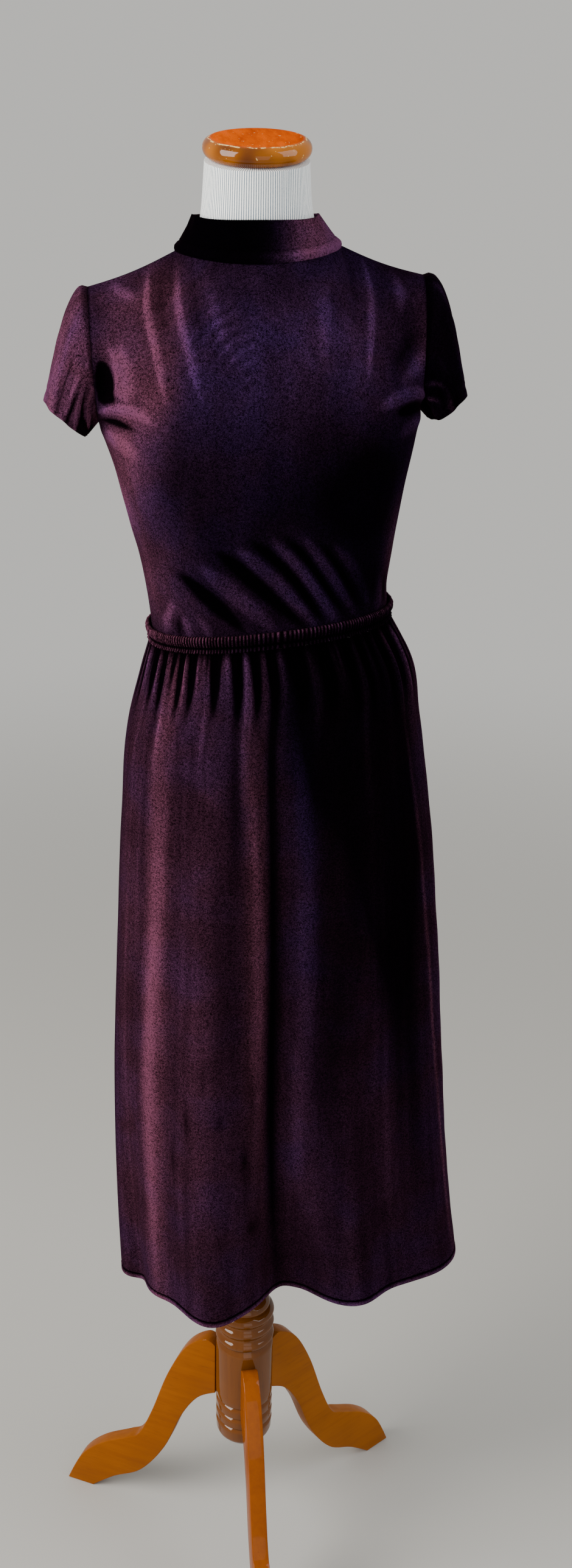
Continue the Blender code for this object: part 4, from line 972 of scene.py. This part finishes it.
def sleeve_points(hand, u, v):
    """Points of a sleeve: u runs round from the underarm, v from the armhole to the hem."""
    turn = u * 2 * math.pi
    degrees = np.degrees(turn)
    under, over = (upper_point("front", hand, up) for up in (0.0, 1.0))
    high = (1 - np.cos(turn)) / 2
    hem_under = under + [hand * SLEEVE_HEM["tuck"], 0, -SLEEVE_HEM["underarm"]]
    hem_over = over + [hand * SLEEVE_HEM["reach"], 0, -SLEEVE_HEM["drop"]]
    hem = hem_under + high[..., None] * (hem_over - hem_under)
    hem[..., 1] -= SLEEVE_HEM["depth"] * np.sin(turn)
    rings = blend(armhole_edge(hand, turn), hem, v)
    swell = SLEEVE_HEAD[hand] * np.sin(math.pi * v ** HEAD_START) * high
    rings[..., 0] += hand * swell * SLEEVE_HEAD_OUT
    rings[..., 2] += swell * SLEEVE_HEAD_UP
    normal = unit(np.cross(np.gradient(rings, axis=0), np.gradient(rings, axis=1)) * hand)
    raised = sum(pleat.height * bell(degrees, pleat.turn, pleat.half_width) for pleat in SLEEVE_PLEATS)
    raised = raised * v ** 1.2
    for crease in SLEEVE_CREASES:
        middle = crease.turn_top + (crease.turn_hem - crease.turn_top) * v
        run = np.sin(math.pi * (v * 0.9 + 0.05)) ** 0.8
        raised += crease.height * bell(degrees, middle, crease.half_width) * run
    pucker = SLEEVE_PUCKER * np.sin(degrees * 0.9 + 3 * np.sin(turn * 3)) * bell(v, 0.03, 0.05)
    raised += pucker * high + ripple(rings[..., 1] * 2, rings[..., 2] * 2, 5.0 + hand)
    raised -= SLEEVE_STITCH["depth"] * bell(v, SLEEVE_STITCH["place"], SLEEVE_STITCH["width"])
    raised *= share_of(v, 0, 0.03)
    rings = rings + normal * raised[..., None]
    rings[..., 0] -= hand * ARMHOLE_OVERLAP
    return rings, raised


class DRESS_OT_sleeves(bpy.types.Operator):
    """The two cap sleeves, open at the hem"""
    bl_idname = "velvet_dress.sleeves"
    bl_label = "Sleeves"

    def execute(self, context):
        cloth = velvet("sleeve_velvet")
        for name, hand in HANDS.items():
            piece, u, v = grid_piece("velvet_sleeve_" + name, SLEEVE_CELLS)
            points, relief = sleeve_points(hand, u, v)
            move_points(piece, points)
            # Painted light and shade from the strokes, and painted shade next to the armhole seam
            nap = paint_light_strokes(SLEEVE_STROKES[hand], u * 360, v, SLEEVE_PAINTED_LIGHT_START[hand])
            nap["lit"] *= np.clip(v / 0.05, 0.1, 1)
            paint(piece, relief=fold_paint(relief, FULL_FOLD["sleeve"]), **nap)
            in_edit(piece, merge)
            face_away(piece, points.mean(axis=(0, 1)) + [AXIS_X, AXIS_Y, 0])
            thicken(piece, context.scene.velvet_dress.wall)
            dress_up(piece, cloth, ["sleeve_" + name])
        return {"FINISHED"}


def neck_edge(turn):
    """The neckline and the angles of its points; turn is 0 at the right, a quarter at the back."""
    place = NECK_SHARE * np.arcsin(np.clip(np.cos(turn), -1, 1)) / (math.pi / 2)
    edge = np.where((np.sin(turn) < 0)[..., None], neck_and_shoulders("front", place),
                    neck_and_shoulders("back", place))
    return edge, np.arctan2(edge[..., 1], edge[..., 0] - CHEST_MIDDLE_X)


def collar_points(u, v):
    """Points of the collar's outer face: u runs round the neck, v from the neckline up."""
    turn = u * 2 * math.pi
    edge, angle = neck_edge(turn)
    way_out = np.stack([np.cos(angle), np.sin(angle), 0 * angle], axis=-1)
    depth, height = (np.where(np.sin(angle) < 0, size["front"], size["back"])
                     for size in (COLLAR_TOP, COLLAR_HEIGHT))
    height = COLLAR_HEIGHT["side"] + (height - COLLAR_HEIGHT["side"]) * np.sin(angle) ** 2
    height = height - COLLAR_FALL * edge[..., 0]
    top = np.stack([COLLAR_SHIFT + COLLAR_TOP["width"] * np.cos(angle), depth * np.sin(angle),
                    edge[..., 2] + height], axis=-1)
    base = edge - way_out * (WALL - SEAM_GAP) + [0, 0, SEAM_GAP + WALL]
    inner = blend(base, top, v)
    inner[..., 2] -= COLLAR_TUCK * share_of(v, 0.06, 0)
    ridge = COLLAR_RIDGE * np.interp(v, COLLAR_RIDGE_HEIGHTS, COLLAR_RIDGE_SHARES)
    seam = COLLAR_SEAM * bell(v, 0.235, 0.020)
    hug = COLLAR_HUG * np.sin(math.pi * v) * (0.6 + 0.4 * np.cos(turn))
    wide, fine = COLLAR_WRINKLES
    wrinkle = wide * np.sin(turn * 7 + 2 * v) * np.sin(math.pi * v) + fine * np.sin(turn * 17 + 5 * v)
    out = COLLAR_WALL + ridge - seam - hug + wrinkle * np.clip(v * 6, 0, 1)
    # The relief paints shade along the seam, three times as deep as its dip
    return inner + way_out * out[..., None], ridge - 3 * seam


class DRESS_OT_collar(bpy.types.Operator):
    """The stand-up collar, a doubled band with a soft ridge along its lower seam"""
    bl_idname = "velvet_dress.collar"
    bl_label = "Collar"

    def execute(self, context):
        piece, u, v = grid_piece("velvet_collar", COLLAR_CELLS)
        points, relief = collar_points(u, v)
        move_points(piece, points)
        # Painted light on the right of the collar and painted shade on its left, bluer where it is shaded
        lit = 1.3 * slide(points[..., 0], 0.029, 0.007)
        paint(piece, relief=fold_paint(relief, FULL_FOLD["collar"]), lit=0.004 + lit, blue=0.75 - 0.30 * lit)
        in_edit(piece, merge)
        face_away(piece, (AXIS_X, AXIS_Y, 1.65))
        thicken(piece, COLLAR_WALL)
        dress_up(piece, velvet("collar_velvet"), ["collar"])
        return {"FINISHED"}


def casing_points(u, v, ridges):
    """The ruched casing: u runs round the waist, v round the casing's outline."""
    turn, circle = u * 4 - 1, u * 2 * math.pi
    marks = np.linspace(0, 1, len(CASING_OUTLINE))
    out, down, ruched = (np.interp(v, marks, values) for values in zip(*CASING_OUTLINE))
    phase = circle * ridges + 0.56 * np.sin(circle * 23) + 0.40 * np.sin(circle * 41 + 1.0)
    uneven = 0.75 + 0.25 * np.sin(circle * 57 + 0.6)
    ridge = CASING_RIDGE * ruched * uneven * np.sin(phase + 0.7 * down)
    flutter = CASING_FLUTTER * np.sin(circle * 71 + 2.0) * share_of(down, 0.8, 1) * ruched
    z = CASING_TOP_Z - CASING_HEIGHT * down
    lowest = BODICE_LEVELS[0]
    level = level_at(BODICE_LEVELS, np.maximum(z, lowest.z))._replace(z=z, rise=lowest.rise)
    front = ring_point(level, "front", np.clip(turn, -1, 1))
    back = ring_point(level, "back", np.clip(2 - turn, -1, 1))
    points = np.where((turn <= 1)[..., None], front, back)
    around = np.gradient(points, axis=1)
    around[:, 0] = around[:, -1] = (points[:, 1] - points[:, -2]) / 2
    points = points + unit(np.cross(around, [0, 0, 1])) * (out + ridge + flutter)[..., None]
    points[..., 2] += CASING_LIP_RISE * np.sin(phase * 0.5) * ruched * (down > 0.9)
    # The relief paints shade along the stitched line
    return points, ridge - CASING_GROOVE_SHADE * bell(down, 0.70, 0.06)


class DRESS_OT_casing(bpy.types.Operator):
    """The elastic casing at the waist, ruched all round"""
    bl_idname = "velvet_dress.casing"
    bl_label = "Waist casing"

    def execute(self, context):
        ridges = context.scene.velvet_dress.casing_ridges
        piece, u, v = grid_piece("velvet_waist_casing", (ridges * CASING_CELLS_A_RIDGE, CASING_CELLS_ROUND))
        points, relief = casing_points(u, v, ridges)
        move_points(piece, points)
        # Painted light: lighter on the left with painted shade on the right, a painted highlight along the top
        # of the tube, and the relief painted a little darker
        lit = 0.60 - 0.55 * slide(points[..., 0], -0.062, 0.022) + 0.30 * bell(v, 0.16, 0.10)
        paint(piece, relief=fold_paint(relief - 0.0003, FULL_FOLD["casing"]), lit=lit, blue=0.55 - 0.5 * lit)
        in_edit(piece, merge, face_out)
        dress_up(piece, velvet("casing_velvet"), ["waist_casing"], CASING_SMOOTH_ANGLE)
        return {"FINISHED"}


def gather_height(gathers, place, drop):
    """Height of the main gathers, ridges up and valleys a little down."""
    total = np.zeros_like(place)
    for gather in gathers:
        fall = drop / gather.length
        shape = bell(place, gather.place, GATHER_WIDTH) - GATHER_SINK
        near = bell(place, gather.place, GATHER_REACH) * bell(fall, 0, 1)
        total += gather.height * shape * near * np.minimum(1, GATHER_START + GATHER_RISE * fall)
    return total


def fine_gathers(place, drop, seed):
    """The many small gathers just under the casing, each a little different."""
    pitch = place * 150 + 2.2 * np.sin(place * 19 + seed) + 1.3 * np.sin(place * 43 + 2 * seed)
    reach = 0.022 + 0.014 * np.sin(place * 31 + 1.7 * seed) ** 2
    small = 0.0015 * (0.7 + 0.3 * np.sin(place * 27 + seed)) * np.sin(pitch) * bell(drop, 0, reach)
    middle = 0.0019 * np.sin(place * 66 + 1.8 * np.sin(place * 13 + seed)) * bell(drop, 0.016, 0.045)
    return small + middle


def wave_depth(waves, place, z):
    """Depth of the folds that open towards the hem."""
    total = np.zeros_like(place)
    for wave in waves:
        down = np.clip((wave.start_z - z) / (wave.start_z - HEM_Z), 0, None)
        total += wave.depth * down ** 1.5 * bell(place, wave.place, wave.half_width)
    return total


def hang_height(hangs, place, z):
    """Height of the long soft folds."""
    total = np.zeros_like(place)
    for hang in hangs:
        run = share_of(z, hang.top_z, hang.bottom_z)
        sway = 0.012 * np.sin(5 * run + hang.place * 9)
        total += hang.height * np.sin(math.pi * run) ** 0.6 * bell(place, hang.place + sway, hang.half_width)
    return total


def skirt_points(side, u, v):
    """Points of a skirt panel from the casing to the hem, and their relief."""
    gathers, waves, hangs = SKIRT_FOLDS[side]
    seed = SKIRT_SEED[side]
    place = u * 2 - 1
    z = SKIRT_TOP_Z + (HEM_Z - SKIRT_TOP_Z) * v
    drop, up = np.clip(SKIRT_TOP_Z - z, 0, None), z - HEM_Z
    level = level_at(SKIRT_LEVELS, z)
    points = ring_point(level, side, place)
    slope = ring_point(level, side, place + 0.01) - ring_point(level, side, place - 0.01)
    slope[:, 0] = slope[:, -1] = [0, -1, 0]
    out = unit(np.cross(slope, [0, 0, 1.0]))
    centre = np.stack([level.middle_x, 0 * z, 0 * z], axis=-1)
    out *= np.sign((out * (points - centre)).sum(axis=-1, keepdims=True))
    large, small = gather_height(gathers, place, drop), fine_gathers(place, drop, seed)
    hanging = hang_height(hangs, place, z)
    uneven = ripple(points[..., 0], z * 0.8, 3.0 * seed) * share_of(drop, 0, 0.05) * 1.6
    raised = (large + wave_depth(waves, place, z) + small + hanging + uneven) * (1 - np.abs(place) ** 8)
    raised += HEM_SWELL * share_of(up, HEM_STITCH, HEM_STITCH - 0.001)
    raised -= HEM_GROOVE * bell(up, HEM_STITCH, 0.0009)
    raised += HEM_PUCKER * np.sin(place * 210) * bell(up, HEM_STITCH, 0.004)
    points = points + out * raised[..., None]
    points[..., 1] += SIDES[side] * SEAM_GAP / 2
    # The relief paints light and shade: gathers stronger than their shape, painted shadow under the casing, a
    # painted highlight on the hem's lower edge and painted shade in its stitched line
    relief = large + 1.6 * small + 0.5 * hanging - 0.0021 * bell(drop, 0, 0.046)
    relief += 0.0022 * bell(up, 0.0016, 0.0026) - 0.0040 * bell(up, HEM_STITCH, 0.0013)
    return points, relief


def streaks(place, down):
    """Uneven upright streaks of the nap, a little bent."""
    bent = place + 0.006 * np.sin(9 * down + 4 * place)
    return (1 + 0.16 * np.sin(bent * 47 + 1.3 * np.sin(bent * 11)) * np.sin(bent * 29 + 2 * down)
            + 0.10 * np.sin(bent * 93 + 2.1 * np.sin(bent * 17 + down)))


class DRESS_OT_skirt(bpy.types.Operator):
    """Front and back of the gathered skirt, open at the hem"""
    bl_idname = "velvet_dress.skirt"
    bl_label = "Skirt"

    def execute(self, context):
        cloth = velvet("skirt_velvet")
        for side in SIDES:
            piece, u, v = grid_piece("velvet_skirt_" + side, SKIRT_CELLS[side])
            place, down = u * 2 - 1, np.interp(v, *SKIRT_ROWS)
            points, relief = skirt_points(side, u, down)
            move_points(piece, points)
            # Painted light and shade from the strokes, with painted shadow just under the casing; the streaks
            # are the nap's own
            nap = paint_light_strokes(SKIRT_STROKES[side], place, down, SKIRT_PAINTED_LIGHT_START[side])
            nap["lit"] *= np.clip(down / 0.012, 0.1, 1) * streaks(place, v)
            paint(piece, relief=fold_paint(relief, FULL_FOLD["skirt"]), **nap)
            face_away(piece, (AXIS_X + 0.02, AXIS_Y, 0.9))
            thicken(piece, context.scene.velvet_dress.wall)
            dress_up(piece, cloth, ["skirt_" + side])
        return {"FINISHED"}


def torso_ring(u, v):
    """The closed torso in rings: front, flat arm plate, back, flat arm plate."""
    hips = len(HIP_LEVELS)
    height = v * (hips + TORSO_UPPER_RINGS) - hips
    turn = u * 4
    places = {"front": share_of(turn, 0, ARM_PLATE_START) * 2 - 1,
              "back": 1 - share_of(turn, 2, 2 + ARM_PLATE_START) * 2}
    share = share_of(height, 0, TORSO_UPPER_RINGS)
    seat = share_of(share, SEAT_START, SEAT_END)
    hip_level = Level(*(np.interp(np.clip(height + hips, 0, hips - 1), range(hips), values)
                        for values in zip(*HIP_LEVELS)))
    points = {}
    for side, place in places.items():
        grid = figure_point(side, place, share * 2)
        depth = WALL + (FORM_GAP + SHOULDER_SINK) * seat + (FORM_EASE + ARM_EASE * place ** 2) * (1 - seat)
        grid = grid + outward(grid, side) * SIDES[side] * depth[..., None]
        points[side] = np.where((height < 0)[..., None], ring_point(hip_level, side, place), grid)
    return np.where((turn <= ARM_PLATE_START + 0.05)[..., None], points["front"], points["back"])


def neck_rings(u, v):
    """The neck, spreading onto the shoulders at its foot, with a slanted top."""
    share, close = share_of(v, 0, NECK_SIDE_SHARE), share_of(v, NECK_SIDE_SHARE, 1)
    edge, angle = neck_edge(u * 2 * math.pi)
    foot = edge - np.stack([np.cos(angle), np.sin(angle), 0 * angle + 1], axis=-1) * (WALL + FORM_GAP)
    flare = (1 - share) ** NECK_FLARE
    across = NECK_TOP_RADIUS + NECK_SWELL[0] * (1 - share)
    deep = NECK_TOP_RADIUS * math.cos(NECK_LEAN) + NECK_SWELL[1] * (1 - share)
    top_z = NECK_TOP_Z + NECK_TOP_RADIUS * np.sin(angle + NECK_TURN) * math.sin(NECK_LEAN)
    x = foot[..., 0] * flare + across * np.cos(angle) * (1 - flare)
    y = foot[..., 1] * flare + deep * np.sin(angle) * (1 - flare)
    z = foot[..., 2] + (top_z - foot[..., 2]) * share
    return blend(np.stack([x, y, z], axis=-1), np.array([0, 0, NECK_TOP_Z]), close)


class DRESS_OT_form(bpy.types.Operator):
    """The limbless form covered in striped jersey"""
    bl_idname = "velvet_dress.form"
    bl_label = "Dress form"

    def execute(self, context):
        cover = jersey("striped_jersey")
        for name, cells, shape, nodes in (("jersey_neck", NECK_CELLS, neck_rings, []),
                                          ("jersey_torso", TORSO_CELLS, torso_ring, ["form_torso"])):
            piece, u, v = grid_piece(name, cells)
            move_points(piece, shape(u, v))
            in_edit(piece, merge, close_holes, face_out)
            dress_up(piece, cover, nodes)
        return {"FINISHED"}


def turned_piece(name, profile):
    """A turned piece: a filled ring, extruded and resized ring by ring up its outline."""
    let_go()
    bpy.ops.mesh.primitive_circle_add(vertices=TURNED_STEPS, radius=profile[0].radius, fill_type="NGON",
                                      location=(0, 0, profile[0].z))
    piece = named(name)
    bpy.ops.object.transform_apply(location=True, rotation=True, scale=True)
    bpy.ops.object.mode_set(mode="EDIT")
    bpy.ops.mesh.select_all(action="SELECT")
    for below, above in zip(profile, profile[1:]):
        size = above.radius / below.radius
        bpy.ops.mesh.extrude_region_move(TRANSFORM_OT_translate={"value": (0, 0, above.z - below.z)})
        bpy.ops.transform.resize(value=(size, size, 1), center_override=(0, 0, above.z))
    in_edit(piece, face_out)
    return piece


def put_at(piece, location, turns=(0, 0, 0)):
    """Turns and moves a piece, and leaves its place in its mesh."""
    only(piece)
    piece.rotation_euler = turns
    piece.location = location
    bpy.ops.object.transform_apply(location=True, rotation=True, scale=True)


def bead(middle_z):
    """Ring points of one rounded bead of the column, from below to above."""
    return [RingPoint(BEAD_RADIUS + BEAD_BULGE * math.sin(math.pi * k / BEAD_STEPS),
                      middle_z - BEAD_HEIGHT / 2 + BEAD_HEIGHT * k / BEAD_STEPS)
            for k in range(BEAD_STEPS + 1)]


def column_profile():
    """Outline of the turned column, bottom to top."""
    rings = list(COLUMN_FOOT)
    for groove in GROOVE_HEIGHTS:
        rings += [RingPoint(COLUMN_RADIUS + out, groove + up) for out, up in COLUMN_GROOVE]
    rings += COLUMN_NECK
    for middle in BEAD_HEIGHTS:
        rings += bead(middle)
    return rings + list(COLUMN_HEAD)


def cap_profile():
    """Outline of the neck disc, its rim fully rounded."""
    half = CAP_THICK / 2
    rim = [RingPoint(CAP_RADIUS - half + half * math.sin(a), -half * math.cos(a))
           for a in np.radians(np.linspace(8, 172, CAP_STEPS))]
    return [RingPoint(CAP_RADIUS * 0.5, rim[0].z), *rim, RingPoint(CAP_RADIUS * 0.5, rim[-1].z)]


def leg_outline():
    """Points (reach, z) round the leg: straight between two corners, smooth elsewhere."""
    points = [np.array([point.reach, point.z]) for point in LEG_OUTLINE]
    count = len(points)
    slopes = [np.zeros(2) if point.corner else (points[(i + 1) % count] - points[i - 1]) / 2
              for i, point in enumerate(LEG_OUTLINE)]
    outline = []
    for i, start in enumerate(points):
        after = (i + 1) % count
        if LEG_OUTLINE[i].corner and LEG_OUTLINE[after].corner:
            outline.append(start)
            continue
        for t in np.arange(LEG_STEPS) / LEG_STEPS:
            outline.append((2 * t**3 - 3 * t**2 + 1) * start + (t**3 - 2 * t**2 + t) * slopes[i]
                           + (3 * t**2 - 2 * t**3) * points[after] + (t**3 - t**2) * slopes[after])
    return outline


def deepen():
    """Extrudes the flat outline of a leg to its thickness."""
    bpy.ops.mesh.extrude_region_move(TRANSFORM_OT_translate={"value": (0, 0, LEG_THICK)})


def sawn_leg(name):
    """A board cut to the leg's outline, its long edges rounded."""
    outline = leg_outline()
    let_go()
    bpy.ops.mesh.primitive_circle_add(vertices=len(outline), radius=1, fill_type="NGON")
    piece = named(name)
    for vert, (reach, z) in zip(piece.data.vertices, outline):
        vert.co = (reach, z, -LEG_THICK / 2)
    in_edit(piece, deepen)
    in_edit(piece, face_out)
    add_modifier(piece, "BEVEL", width=LEG_ROUND, segments=3, limit_method="ANGLE",
                 angle_limit=LEG_BEVEL_ANGLE)
    return piece


class DRESS_OT_stand(bpy.types.Operator):
    """Neck disc, pole, turned column and the three sawn legs of the stand"""
    bl_idname = "velvet_dress.stand"
    bl_label = "Stand"

    def execute(self, context):
        disc = turned_piece("wooden_neck_disc", cap_profile())
        put_at(disc, (AXIS_X, AXIS_Y, CAP_CENTRE_Z), (NECK_LEAN, 0, -NECK_TURN))
        wood = varnished("varnished_disc", turn=(0, 0, math.pi / 2), tone=CAP_TONE, coat=0.7, grain=2.4,
                         worn=cap_chips, rim=cap_rim)
        dress_up(disc, wood, ["neck_cap"])
        upright = varnished("varnished_column", turn=(0, math.pi / 2, 0), tone=COLUMN_TONE, coat=0.8)
        pole = [RingPoint(POLE_RADIUS, z) for z in (COLUMN_TOP + SEAM_GAP, HIP_LEVELS[0].z - SEAM_GAP)]
        for name, profile, node in (("turned_column", column_profile(), "stand_column"),
                                    ("round_pole", pole, "stand_pole")):
            piece = turned_piece(name, profile)
            put_at(piece, (AXIS_X, AXIS_Y, 0))
            dress_up(piece, upright, [node])
        for name, degrees in LEG_ANGLES.items():
            leg, turn = sawn_leg("sawn_" + name), math.radians(degrees)
            put_at(leg, (AXIS_X, AXIS_Y, 0), (math.pi / 2, 0, turn))
            # Each leg's tone is partly painted light
            wood = varnished("varnished_" + name, turn=(0, 0, -turn), tone=LEG_TONE_AND_LIGHT[name])
            dress_up(leg, wood, [name], LEG_SMOOTH_ANGLE)
        return {"FINISHED"}


class DRESS_OT_stage(bpy.types.Operator):
    """Pale floor, soft lights and the camera"""
    bl_idname = "velvet_dress.stage"
    bl_label = "Studio"

    def execute(self, context):
        studio = context.scene.studio
        piece, u, v = grid_piece("studio_floor", FLOOR_CELLS)
        move_points(piece, np.stack([u - 0.5, v - 0.5, 0 * u], axis=-1) * FLOOR_SIZE - [0, 0, FLOOR_DROP])
        piece.data.materials.append(paper("pale_paper", studio))
        only(piece)
        bpy.ops.object.shade_smooth()
        for lamp in LAMPS:
            self.light(lamp, getattr(studio, lamp.power))
        world = bpy.data.worlds.new("studio_air")
        context.scene.world = world
        world.use_nodes = True
        air = world.node_tree.nodes["Background"]
        air.inputs["Color"].default_value = (*studio.air, 1)
        air.inputs["Strength"].default_value = studio.world
        self.camera(context)
        return {"FINISHED"}

    def light(self, lamp, watts):
        """A soft area light that looks at its target."""
        let_go()
        bpy.ops.object.light_add(type="AREA", location=lamp.place)
        light = bpy.context.object
        light.name = lamp.name
        light.data.shape = "RECTANGLE"
        light.data.size, light.data.size_y = lamp.size, lamp.size * 1.5
        light.data.energy, light.data.color = watts, lamp.colour
        away = np.array(lamp.place) - np.array(lamp.target)
        light.rotation_euler = (math.acos(away[2] / np.linalg.norm(away)), 0,
                                math.atan2(away[1], away[0]) + math.pi / 2)

    def camera(self, context):
        """The camera where the photograph was taken from."""
        let_go()
        bpy.ops.object.camera_add()
        camera = bpy.context.object
        camera.name = "photo_camera"
        back = Vector((-math.sin(CAMERA_YAW), -math.cos(CAMERA_YAW), 0))
        right = Vector((math.cos(CAMERA_YAW), -math.sin(CAMERA_YAW), 0))
        ahead = -back * math.cos(CAMERA_PITCH) - Vector((0, 0, math.sin(CAMERA_PITCH)))
        up = right.cross(ahead)
        c, s = math.cos(CAMERA_ROLL), math.sin(CAMERA_ROLL)
        matrix = Matrix((right * c + up * s, up * c - right * s, -ahead)).transposed().to_4x4()
        matrix.translation = (Vector((AXIS_X, AXIS_Y, CAMERA_HEIGHT)) + back * CAMERA_BACK
                              + right * CAMERA_RIGHT)
        camera.matrix_world = matrix
        camera.data.sensor_fit = "VERTICAL"
        camera.data.sensor_height = SENSOR
        camera.data.lens = FOCAL_PIXELS / FRAME_PIXELS * SENSOR
        camera.data.clip_end = 50.0
        context.scene.camera = camera


OPERATORS = (DRESS_OT_bodice, DRESS_OT_sleeves, DRESS_OT_collar, DRESS_OT_casing, DRESS_OT_skirt,
             DRESS_OT_form, DRESS_OT_stand, DRESS_OT_stage)


class DRESS_PT_panel(bpy.types.Panel):
    """Lists the steps that build the dress"""
    bl_idname = "DRESS_PT_panel"
    bl_label = "Velvet dress"
    bl_space_type = "VIEW_3D"
    bl_region_type = "UI"
    bl_category = "Dress"

    def draw(self, context):
        for settings in (context.scene.velvet_dress, context.scene.dress_form, context.scene.studio):
            for name in settings.__annotations__:
                self.layout.prop(settings, name)
        for operator in OPERATORS:
            self.layout.operator(operator.bl_idname)


CLASSES = (VelvetDressSettings, DressFormSettings, StudioSettings, *OPERATORS, DRESS_PT_panel)


def register():
    """Registers the classes and their settings."""
    for cls in CLASSES:
        bpy.utils.register_class(cls)
    bpy.types.Scene.velvet_dress = PointerProperty(type=VelvetDressSettings)
    bpy.types.Scene.dress_form = PointerProperty(type=DressFormSettings)
    bpy.types.Scene.studio = PointerProperty(type=StudioSettings)


def unregister():
    """Takes the classes and their settings away again."""
    del bpy.types.Scene.velvet_dress, bpy.types.Scene.dress_form, bpy.types.Scene.studio
    for cls in reversed(CLASSES):
        bpy.utils.unregister_class(cls)


def main():
    """Builds every piece in order."""
    register()
    for operator in OPERATORS:
        group, name = operator.bl_idname.split(".")
        if getattr(getattr(bpy.ops, group), name)() != {"FINISHED"}:
            raise RuntimeError(operator.bl_label + " isn't finished")


if __name__ == "__main__":
    main()
